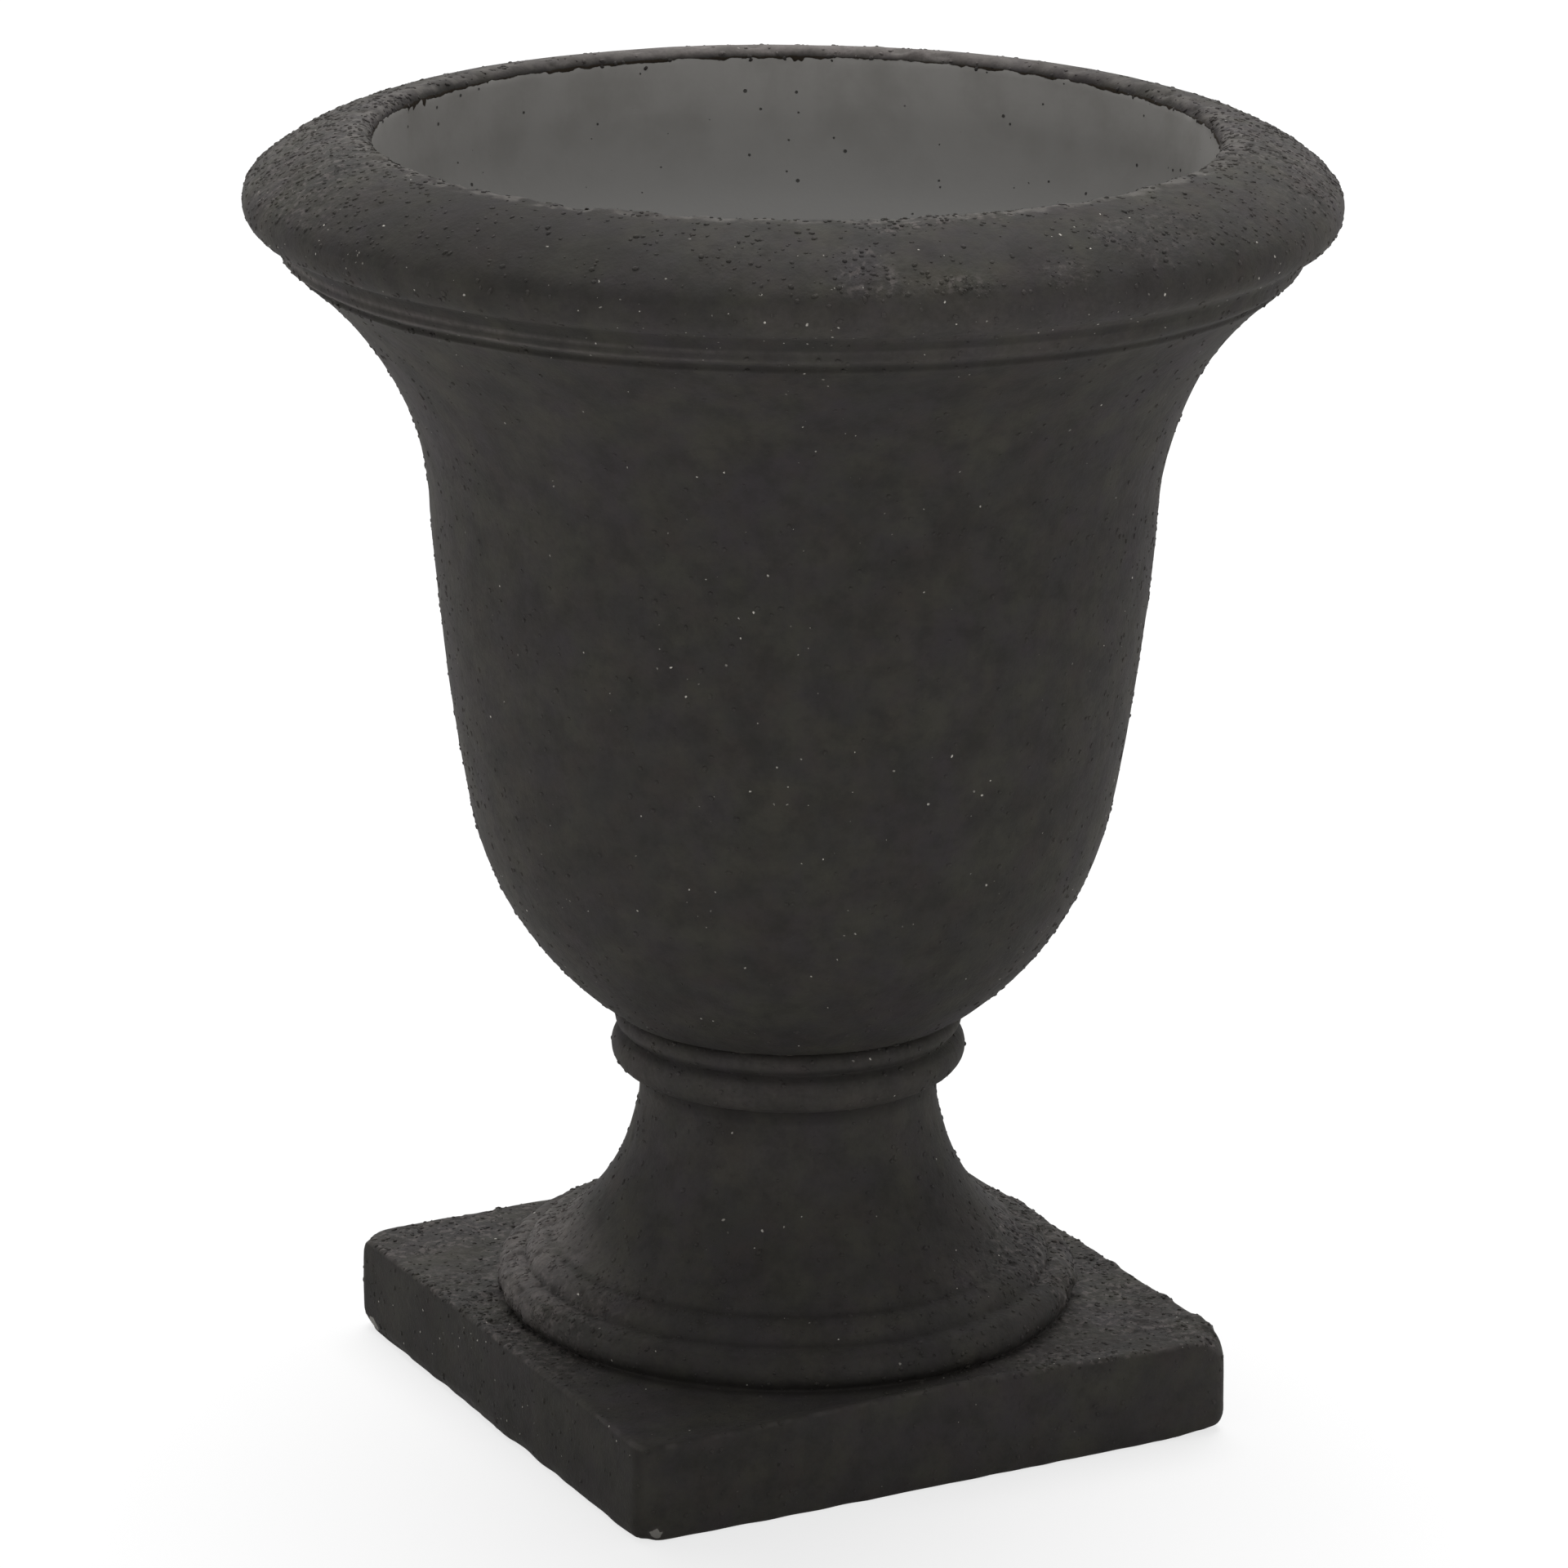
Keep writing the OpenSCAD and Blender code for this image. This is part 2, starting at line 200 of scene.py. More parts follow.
def square_row(half, corner, z, columns):
    """A ring round a square with rounded corners, evenly spaced from the middle of the +X side."""
    flat, bend = half - corner, corner * pi / 2
    place = np.arange(columns) * 4 / columns
    quarter, way = np.floor(place), (place % 1) * (2 * flat + bend)
    turn = np.clip((way - flat) / corner, 0, pi / 2)
    x = flat + corner * np.cos(turn) - np.clip(way - flat - bend, 0, None)
    y = np.minimum(way, flat) + corner * np.sin(turn)
    cosine, sine = np.cos(quarter * pi / 2), np.sin(quarter * pi / 2)
    return np.stack([x * cosine - y * sine, x * sine + y * cosine, np.full(columns, z)], axis=1)


def softened(rows, times):
    """Rows of equal count with every inner row moved halfway to the middle of its two neighbours, the
    given number of times. It fills creases and rounds arrises, as thick coats of slurry do."""
    grid = np.array(rows)
    for _ in range(times):
        grid[1:-1] = grid[1:-1] / 2 + (grid[:-2] + grid[2:]) / 4
    return list(grid)


def stitched(rows):
    """Faces between neighbouring rows, and from the last row to the first: four-sided between rows of
    equal count, five-sided where a row has twice the points of its neighbour."""
    first = np.cumsum([0] + [len(row) for row in rows])
    faces = []
    for i, low in enumerate(rows):
        after = (i + 1) % len(rows)
        a, b = first[i], first[after]
        n, m = len(low), len(rows[after])
        j = np.arange(min(n, m))
        if n == m:
            sides = [a + j, a + (j + 1) % n, b + (j + 1) % m, b + j]
        elif m == 2 * n:
            sides = [a + j, a + (j + 1) % n, b + (2 * j + 2) % m, b + 2 * j + 1, b + 2 * j]
        else:
            sides = [a + 2 * j, a + 2 * j + 1, a + (2 * j + 2) % n, b + (j + 1) % m, b + j]
        faces += [np.stack(sides, axis=1)]
    return np.vstack(rows), faces


def outward(points, faces):
    """Unit normals at the points: the sum of the cross products of the faces' diagonals round each."""
    total = np.zeros_like(points)
    for block in faces:
        p = points[block]
        cross = np.cross(p[:, 2] - p[:, 0], p[:, -1] - p[:, 1])
        for k in range(block.shape[1]):
            np.add.at(total, block[:, k], cross)
    return total / np.maximum(norm(total, axis=1, keepdims=True), 1e-12)


def add_object(name, data):
    """A new object at the origin, in the scene."""
    made = bpy.data.objects.new(name, data)
    bpy.context.scene.collection.objects.link(made)
    return made


def make_piece(name, points, faces, material, replaces=(), masks=None):
    """A smooth-shaded mesh at the origin that rides on the urn, with one attribute for each mask."""
    mesh = bpy.data.meshes.new(name)
    mesh.from_pydata(points.tolist(), [], [f for block in faces for f in block.tolist()])
    mesh.polygons.foreach_set("use_smooth", np.ones(len(mesh.polygons), bool))
    for mask, values in (masks or {}).items():
        mesh.attributes.new(mask, "FLOAT", "POINT").data.foreach_set("value", values.astype(np.float32))
    mesh.materials.append(material)
    mesh.update()
    piece = add_object(name, mesh)
    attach(piece, "root")
    if replaces:
        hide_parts(*replaces)


# Noise on points: the same values on every run, from the lattice's own numbers

def lattice_value(cell, seed):
    """A number from 0 to 1 for each whole-numbered cell, by mixing the bits of its coordinates."""
    x, y, z = (cell[..., k].astype(np.uint64) for k in range(3))
    mixed = x * np.uint64(73856093) ^ y * np.uint64(19349663) ^ z * np.uint64(83492791)
    mixed = (mixed + np.uint64(seed * 2654435761)) * np.uint64(6364136223846793005)
    mixed ^= mixed >> np.uint64(29)
    mixed *= np.uint64(1181783497276652981)
    return ((mixed >> np.uint64(40)) & np.uint64(65535)) / 65535.0


TILT = np.array(Matrix.Rotation(0.7, 3, "X") @ Matrix.Rotation(0.5, 3, "Y"))
FAR_CELL = 5000
FAR_SPOT = 9.0


def cloud(points, size, seed):
    """Smooth noise from -1 to 1 with features of the given size: lattice values blended between."""
    place = points @ TILT / size + FAR_CELL
    cell = np.floor(place)
    part = place - cell
    part = part * part * (3 - 2 * part)
    total = np.zeros(len(points))
    for corner in np.ndindex(2, 2, 2):
        weight = np.prod(np.where(corner, part, 1 - part), axis=1)
        total += weight * lattice_value(cell + corner, seed)
    return 2 * total - 1


def nearest_spot(points, size, share, seed):
    """Distance, in cells, to the nearest of the spots that lie one to a cell, and that spot's value from
    0 to 1. Where the value isn't below the share, the spot doesn't count and is far away."""
    place = points @ TILT / size + FAR_CELL
    cell = np.floor(place)
    best, value = np.full(len(points), FAR_SPOT), np.zeros(len(points))
    for step in np.ndindex(3, 3, 3):
        near = cell + np.array(step) - 1
        spot = np.stack([lattice_value(near, seed + k) for k in range(3)], axis=1)
        away = norm(near + spot - place, axis=1)
        closer = away < best
        best = np.where(closer, away, best)
        value = np.where(closer, lattice_value(near, seed + 3), value)
    return np.where(value < share, best, FAR_SPOT), value


def ramp(x, low, high):
    """0 below low, 1 above high, and an even S between."""
    t = np.clip((x - low) / (high - low), 0, 1)
    return t * t * (3 - 2 * t)


def fading(x, full, gone):
    """1 up to full, 0 past gone, and an even S between."""
    return ramp(-x, -gone, -full)


def facing(points, direction, width):
    """1 on the side of the axis that faces the direction, falling off over the width, in radians."""
    off = np.arctan2(points[:, 1], points[:, 0]) - direction
    off = np.abs((off + pi) % (2 * pi) - pi)
    return np.exp(-(off / width) ** 2)


def cast_relief(points, rough, seed):
    """Height of a hand-packed cast face over its true form: slow unevenness and soft lumps all over,
    and where it is rough also crumbs, which stand out as domes, and pits, which are sunk."""
    slow = 0.00045 * cloud(points, 0.11, seed) + 0.0003 * cloud(points, 0.042, seed + 1)
    lumps = (0.00008 + 0.0003 * rough) * cloud(points, 0.013, seed + 2)
    near, value = nearest_spot(points, 0.0062, 0.42, seed + 10)
    crumbs = np.clip(1 - near / 0.52, 0, 1) * (0.3 + value)
    pits = fading(nearest_spot(points, 0.0088, 0.3, seed + 20)[0], 0.1, 0.42)
    return slow + lumps + rough * (0.0011 * crumbs - 0.001 * pits), pits * rough


# Bowl

RIM_COLUMNS = 600
FLARE_LEAN = 0.0016
BACK_LIFT = 0.0021
THIN_BEAD_OUT = 0.0008
INNER_SIDE_BOW = SIDE_BOW - 0.0005
LIP_BREAK = 0.0017
LIP_UNEVEN = 0.0008

# Lengths of the mesh's steps along the bell, the roll, the turned foot and the insides
BELL_STEP, ROLL_STEP, FOOT_STEP, INNER_STEP = 0.0031, 0.0023, 0.0024, 0.006

# Painted light along lines round the bowl under the roll, highlight on the band edges and shade in the
# hollows: depth below the rim, level of the painted highlight (painted shade below 0), the distances from
# the line at which it is full and gone, and the part of the way round that has it
ROLL_LINES = [
    (0.0572, 0.5, 0.0003, 0.0016, "far left"),
    (0.0618, -0.35, 0.0008, 0.0024, "all"),
    (0.0522, 0.4, 0.0003, 0.0016, "left"),
    (0.0468, -0.5, 0.0006, 0.0026, "left"),
    (0.05, -0.25, 0.0008, 0.003, "right"),
]


def bowl_runs():
    """The bowl's section in four runs: its outside, the rim and lip, the throat, and the rest of its
    inside. Each comes with the number of points to a row, twice as many on the rim as beside it."""
    nose = np.array([RIM_R - NOSE_R, RIM_Z - NOSE_DROP])
    nose_low = nose + NOSE_R * np.array([cos(NOSE_UNDER), -sin(NOSE_UNDER)])
    nose_high = nose + NOSE_R * np.array([cos(NOSE_OVER), sin(NOSE_OVER)])
    crest = (CREST_R, RIM_Z)
    band_top = nose_low - CAVETTO
    band_low = band_top - (0, BAND_H)
    groove_top = band_low - STEP
    flare_top = groove_top - GROOVE
    bead_top = flare_top + (THIN_BEAD_OUT, 2 * THIN_BEAD)
    foot = (SEAT_R, SEAT_Z)
    belly = (BELLY[0], SEAT_Z + BELLY[1])
    side = (SIDE[0], SEAT_Z + SIDE[1])
    belly_turn = end_direction(foot, belly, BELLY_BOW)
    side_turn = end_direction(belly, side, SIDE_BOW)
    belly_in = np.array(belly) + WALL * np.array([-sin(belly_turn), cos(belly_turn)])
    side_in = np.array(side) + WALL * np.array([-sin(side_turn), cos(side_turn)])
    floor_edge = (FLOOR_EDGE_R, FLOOR_Z)
    throat = np.array([MOUTH_R - THROAT[0], RIM_Z - THROAT[1]])
    lip_in = np.array([MOUTH_R - LIP_DRAFT, RIM_Z - NOSE_DROP])
    belly_in_bow = bow_leaving(floor_edge, belly_in, belly_turn)
    throat_bow = bow_leaving(side_in, throat, side_turn)
    lip_bow = bow_leaving(throat, lip_in, end_direction(side_in, throat, throat_bow))
    outside = joined(
        straight((HOLE_R, SEAT_Z), foot, 0.015),
        bowed(foot, belly, BELLY_BOW, BELL_STEP),
        bowed(belly, side, SIDE_BOW, BELL_STEP),
        bowed(side, flare_top, -FLARE_BOW, BELL_STEP))
    rim = joined(
        bowed(flare_top, bead_top, THIN_BEAD, 0.0012),
        straight(bead_top, groove_top, 0.001),
        straight(groove_top, band_low, 0.0026),
        straight(band_low, band_top, 0.0016),
        bowed(band_top, nose_low, -CAVETTO_BOW, ROLL_STEP),
        rounded(nose, NOSE_R, -NOSE_UNDER, NOSE_OVER, ROLL_STEP),
        bowed(nose_high, crest, bow_leaving(nose_high, crest, pi / 2 + NOSE_OVER), ROLL_STEP),
        straight(crest, (MOUTH_R + LIP_ROUND, RIM_Z), 0.0013),
        rounded((MOUTH_R + LIP_ROUND, RIM_Z - LIP_ROUND), LIP_ROUND, pi / 2, pi, 0.0014),
        straight((MOUTH_R, RIM_Z - LIP_ROUND), lip_in, 0.0024))
    neck = bowed(lip_in, throat, -lip_bow, 0.004)
    inside = joined(
        bowed(throat, side_in, -throat_bow, INNER_STEP),
        bowed(side_in, belly_in, -INNER_SIDE_BOW, INNER_STEP),
        bowed(belly_in, floor_edge, belly_in_bow, INNER_STEP),
        straight(floor_edge, (HOLE_R, FLOOR_Z), INNER_STEP),
        straight((HOLE_R, FLOOR_Z), (HOLE_R, SEAT_Z), 0.007))
    half, quarter = RIM_COLUMNS // 2, RIM_COLUMNS // 4
    return [(outside[:-1], half), (rim, RIM_COLUMNS), (neck[1:], half), (inside[1:-1], quarter)]


def way_past_lip(runs):
    """For each point of the bowl's rows, the way along the section from where the lip starts to turn
    down: plus on the inside, minus on the outside."""
    outline = np.vstack([run for run, columns in runs])
    way = np.cumsum(np.concatenate([[0], norm(np.diff(outline, axis=0), axis=1)]))
    start = np.argmin(norm(outline - (MOUTH_R + LIP_ROUND, RIM_Z), axis=1))
    counts = np.concatenate([np.full(len(run), columns) for run, columns in runs])
    return np.repeat(way - way[start], counts)


def worn_mouldings(rim):
    """The rim's rows with the lines under the roll softened, little on the left and much on the right,
    and the lip a little."""
    crisp, soft = np.array(softened(rim, 1)), np.array(softened(rim, 9))
    share = np.clip(facing(crisp[0], TO_RIGHT - 0.5, 1.0), 0, 0.55)[None, :, None]
    return list(crisp * (1 - share) + soft * share)


def out_of_true(points):
    """The bowl as its mould let it out: the flare stands a little to the left, and the rim rises a
    little at the back."""
    z = points[:, 2]
    lean = FLARE_LEAN * ramp(z, SEAT_Z + 0.29, SEAT_Z + 0.34) * (1 - 0.6 * ramp(z, RIM_Z - 0.03, RIM_Z))
    lift = BACK_LIFT * facing(points, TO_BACK, 1.1) * ramp(z, RIM_Z - 0.06, RIM_Z - 0.01)
    shift = np.stack([lean * cos(TO_LEFT), lean * sin(TO_LEFT), lift], axis=1)
    return points + shift


def make_bowl(material):
    """The upper casting: its section turned about the axis, then moved along the normals by the relief,
    which is rough on the roll's back and patchy on the bell, and nearly smooth inside."""
    runs = bowl_runs()
    outside, rim, throat, inside = [turned(outline, columns) for outline, columns in runs]
    points, faces = stitched(outside + worn_mouldings(rim) + throat + inside)
    points = out_of_true(points)
    normals = outward(points, faces)
    radius = np.hypot(points[:, 0], points[:, 1])
    towards = partial(facing, points)
    depth = way_past_lip(runs)
    inner = ramp(depth, 0.006, 0.012)
    up = ramp(normals[:, 2], 0.1, 0.8)
    left, right = towards(TO_LEFT + 0.05, 0.55), towards(TO_RIGHT - 0.05, 0.5)
    back, front = towards(TO_BACK, 1.1), towards(TO_CAMERA + 0.35, 0.55)
    patches = ramp(cloud(points, 0.06, 31), -0.3, 0.6)
    clusters = ramp(cloud(points, 0.025, 33), -0.1, 0.6)
    rough = 0.06 + 0.08 * patches + 0.27 * np.maximum(left, right) + 0.15 * back * (1 - up)
    rough += up * (0.75 * left + 0.45 * right + front * (0.12 + 0.65 * clusters))
    rough = np.clip(rough, 0, 1) * (1 - inner) * (radius > SEAT_R)
    # Dusting on up-facing faces, with painted highlight on the up-facing faces at the back of the rim
    dust_and_painted_light = up * (0.1 * left + 0.07 * right + 1.3 * back ** 3 - 0.02) * (0.8 + 0.4 * patches)
    # Painted shade on the front left of the roll's top
    dust_and_painted_light -= up * 0.55 * towards(TO_CAMERA - 0.65, 0.45)
    # Painted sheen on the outer faces that turn to the left and to the right
    dust_and_painted_light += 0.16 * np.maximum(towards(TO_LEFT, 0.4), towards(TO_RIGHT, 0.4)) * (1 - up)
    # Painted light on the outer faces that turn to the left and back
    dust_and_painted_light += 0.06 * towards(TO_LEFT + 0.6, 0.6) * (1 - up)
    # Painted light on the band under the roll, at the front and on the right
    under_roll = ramp(points[:, 2], RIM_Z - 0.064, RIM_Z - 0.052) * (1 - up)
    dust_and_painted_light += 0.15 * under_roll * np.maximum(front, right)
    # Inside, the mask holds only painted shade, on the walls at the sides
    dust_and_painted_light = dust_and_painted_light * (1 - inner) + 0.13 * inner * (1 - towards(TO_BACK, 0.9))
    outer_side = (1 - up) * (radius > MOUTH_R - 0.02) * (depth < 0)
    left_part = towards(TO_LEFT + 0.5, 0.9)
    parts = {"far left": towards(TO_LEFT + 0.6, 0.8), "all": 1, "left": left_part,
             "right": 1 - left_part}
    for drop, painted_light, full, gone, part in ROLL_LINES:
        away = np.abs(RIM_Z - points[:, 2] - drop)
        # Painted highlight along each line, painted shade where its level is below 0
        dust_and_painted_light += painted_light * fading(away, full, gone) * outer_side * parts[part]
    height, pits = cast_relief(points, rough, 1)
    broken = fading(nearest_spot(points, 0.014, 0.5, 71)[0], 0.15, 0.5)
    broken *= fading(np.abs(depth - 0.001), 0, 0.008)
    height -= LIP_BREAK * broken
    height += LIP_UNEVEN * cloud(points, 0.0075, 81) * fading(np.abs(depth), 0.002, 0.01)
    height = height * (1 - 0.75 * inner) * (points[:, 2] > SEAT_Z + 0.004)
    moved = points + normals * height[:, None]
    masks = {"past_lip": depth, "rough": rough, "pits": np.clip(pits + broken, 0, 1), "dust_and_painted_light": dust_and_painted_light}
    make_piece("bowl_casting", moved, faces, material, ["bowl"], masks)
    return moved, outward(moved, faces), rough * (1 - inner), dust_and_painted_light


# Pedestal

PLINTH_COLUMNS = 640
CHIP_ROUND = 0.0022
CHIP_UNEVEN = 0.0006
CHIP_REACH = 0.03
RING_SQUEEZE = 0.0038
EDGE_CROWN = 0.0032
EDGE_UNEVEN = 0.0006
CRUMB_HEIGHT = 0.0026

# Painted shade in the creases round the pedestal: radius, height, how dark, and reach
PEDESTAL_CREASE_SHADE = [
    (FOOT_CREASE[0] + 0.001, FOOT_CREASE[1], 0.35, 0.005),
    (0.1172, 0.0768, 0.35, 0.004),
    (FOOT_RING[0] + 0.007, PLINTH_H, 0.5, 0.008),
    (0.084, PEDESTAL_Z - 0.0105, 0.35, 0.005),
    (NECK_TOP_R, COLLAR[1] - COLLAR_S - 0.002, 0.4, 0.007),
]

# Knocked-off corners of the plinth: direction and height of the corner, how far the broken face leans
# up or down for each unit outwards, its depth, and the seed of its roughness
CHIPS = [
    (TO_RIGHT, 0.0, -4.0, 0.0048, 201),
    (TO_LEFT, 0.0, -0.9, 0.0085, 202),
    (TO_CAMERA, 0.0, -0.6, 0.0078, 203),
    (TO_BACK, 0.0, -1.0, 0.0066, 204),
    (TO_RIGHT, PLINTH_H, 0.9, 0.009, 205),
    (TO_LEFT, PLINTH_H, 0.9, 0.0072, 206),
    (TO_CAMERA, PLINTH_H, 0.6, 0.0036, 207),
    (TO_BACK, PLINTH_H, 0.8, 0.0056, 208),
]

# Fresh pale chips: nearest corner of the plinth's underside, place from there, and radius
FRESH_CHIPS = [(TO_CAMERA, (0.008, 0.001, 0.0045), 0.0042), (TO_LEFT, (0.002, -0.017, 0.005), 0.0052)]


def plinth_edge(first, last):
    """Inset and rise of three places on the plinth's rounded edge, from the angle first to last."""
    turn = np.linspace(first, last, 4)[1:]
    return PLINTH_EDGE * (1 - np.stack([np.sin(turn), np.cos(turn)], axis=1))


def pedestal_rows():
    """Rows of the pedestal, from the underside out to the plinth's edge, up its side, in over its top to
    the foot ring, up the turned part, and down through the hollow. Where the plinth is flat, a row lies
    between the square and the circle."""
    square_low, square_high = (square_row(PLINTH_HALF - PLINTH_EDGE, PLINTH_CORNER - PLINTH_EDGE, z,
                                          PLINTH_COLUMNS) for z in (0, PLINTH_H))
    rows = turned([(CORE_MOUTH_R, 0)], PLINTH_COLUMNS)
    mouth = rows[0]
    rows += [mouth + t * (square_low - mouth) for t in np.linspace(0, 1, 7)[1:]]
    side = list(plinth_edge(0, pi / 2))
    side += [(0, z) for z in np.linspace(PLINTH_EDGE, PLINTH_H - PLINTH_EDGE, 19)[1:]]
    side += [(inset, PLINTH_H - rise) for inset, rise in plinth_edge(pi / 2, 0)]
    rows += [square_row(PLINTH_HALF - inset, PLINTH_CORNER - inset, z, PLINTH_COLUMNS)
             for inset, z in side]
    low_turn = -asin((FOOT_RING[1] - PLINTH_H) / FOOT_RING_S)
    ring = rounded(FOOT_RING, FOOT_RING_S, low_turn, radians(100), 0.0021)
    contact = turned(ring[:1], PLINTH_COLUMNS)[0]
    rows += [square_high + t * (contact - square_high) for t in np.linspace(0, 1, 24)[1:]]
    scotia_low = (FOOT_BEAD[0], FOOT_BEAD[1] + FOOT_BEAD_S - FOOT_BEAD_PROUD)
    scotia = bowed(scotia_low, NECK_LOW, -SCOTIA_BOW, FOOT_STEP)
    scotia = scotia[norm(scotia - FOOT_BEAD, axis=1) > FOOT_BEAD_S]
    bead = bowed(FOOT_CREASE, scotia[0], FOOT_BEAD_BOW, 0.0016)
    half = len(scotia) // 2
    wide = joined(ring, straight(ring[-1], bead[0], FOOT_STEP), bead, scotia[:half])
    collar_low = -pi + acos((COLLAR[0] - NECK_TOP_R) / COLLAR_S)
    collar_high = asin((COLLAR_BEAD[1] - COLLAR_BEAD_S - COLLAR[1]) / COLLAR_S)
    collar = rounded(COLLAR, COLLAR_S, collar_low, collar_high, 0.0018)
    narrow = joined(
        scotia[half:],
        bowed(NECK_LOW, (NECK_R, WAIST_Z), -NECK_BOW, FOOT_STEP),
        straight((NECK_R, WAIST_Z), collar[0], FOOT_STEP),
        collar,
        rounded(COLLAR_BEAD, COLLAR_BEAD_S, -pi / 2, pi / 2, 0.0017))
    hole_top, hole_low, core_top = (HOLE_R, PEDESTAL_Z), (HOLE_R, DECK_Z), (CORE_TOP_R, DECK_Z)
    hollow = joined(
        straight((COLLAR_BEAD[0], PEDESTAL_Z), hole_top, 0.01),
        straight(hole_top, hole_low, 0.008),
        straight(hole_low, core_top, INNER_STEP),
        straight(core_top, CORE_HIGH, INNER_STEP),
        bowed(CORE_HIGH, CORE_LOW, CORE_BOW, INNER_STEP),
        straight(CORE_LOW, (CORE_MOUTH_R, 0), INNER_STEP))
    foot = turned(wide[1:], PLINTH_COLUMNS)
    rows = rows[:-5] + softened(rows[-5:] + foot, 2)
    rows += softened(turned(narrow, PLINTH_COLUMNS // 2), 4)
    rows += turned(hollow[1:-2], PLINTH_COLUMNS // 4)
    return rows + turned(hollow[-2:-1], PLINTH_COLUMNS // 2)


def plinth_corner(direction, z):
    """The plinth's corner nearest to the direction, at the height z."""
    return np.array([copysign(PLINTH_HALF, cos(direction)), copysign(PLINTH_HALF, sin(direction)), z])


def knocked_off(points, corner, lean, depth, seed):
    """Points past a plane across the corner, square to lean, go back to it but for a rough break. The
    way back is (p + sqrt(p^2 + round^2)) / 2 for the distance p past it, which rounds the break's rim."""
    lean = np.array(lean, float) / norm(lean)
    past = (points - corner) @ lean + depth + CHIP_UNEVEN * cloud(points, 0.004, seed)
    past = (past + np.sqrt(past ** 2 + CHIP_ROUND ** 2)) / 2 * (past > -CHIP_REACH)
    return points - past[:, None] * lean


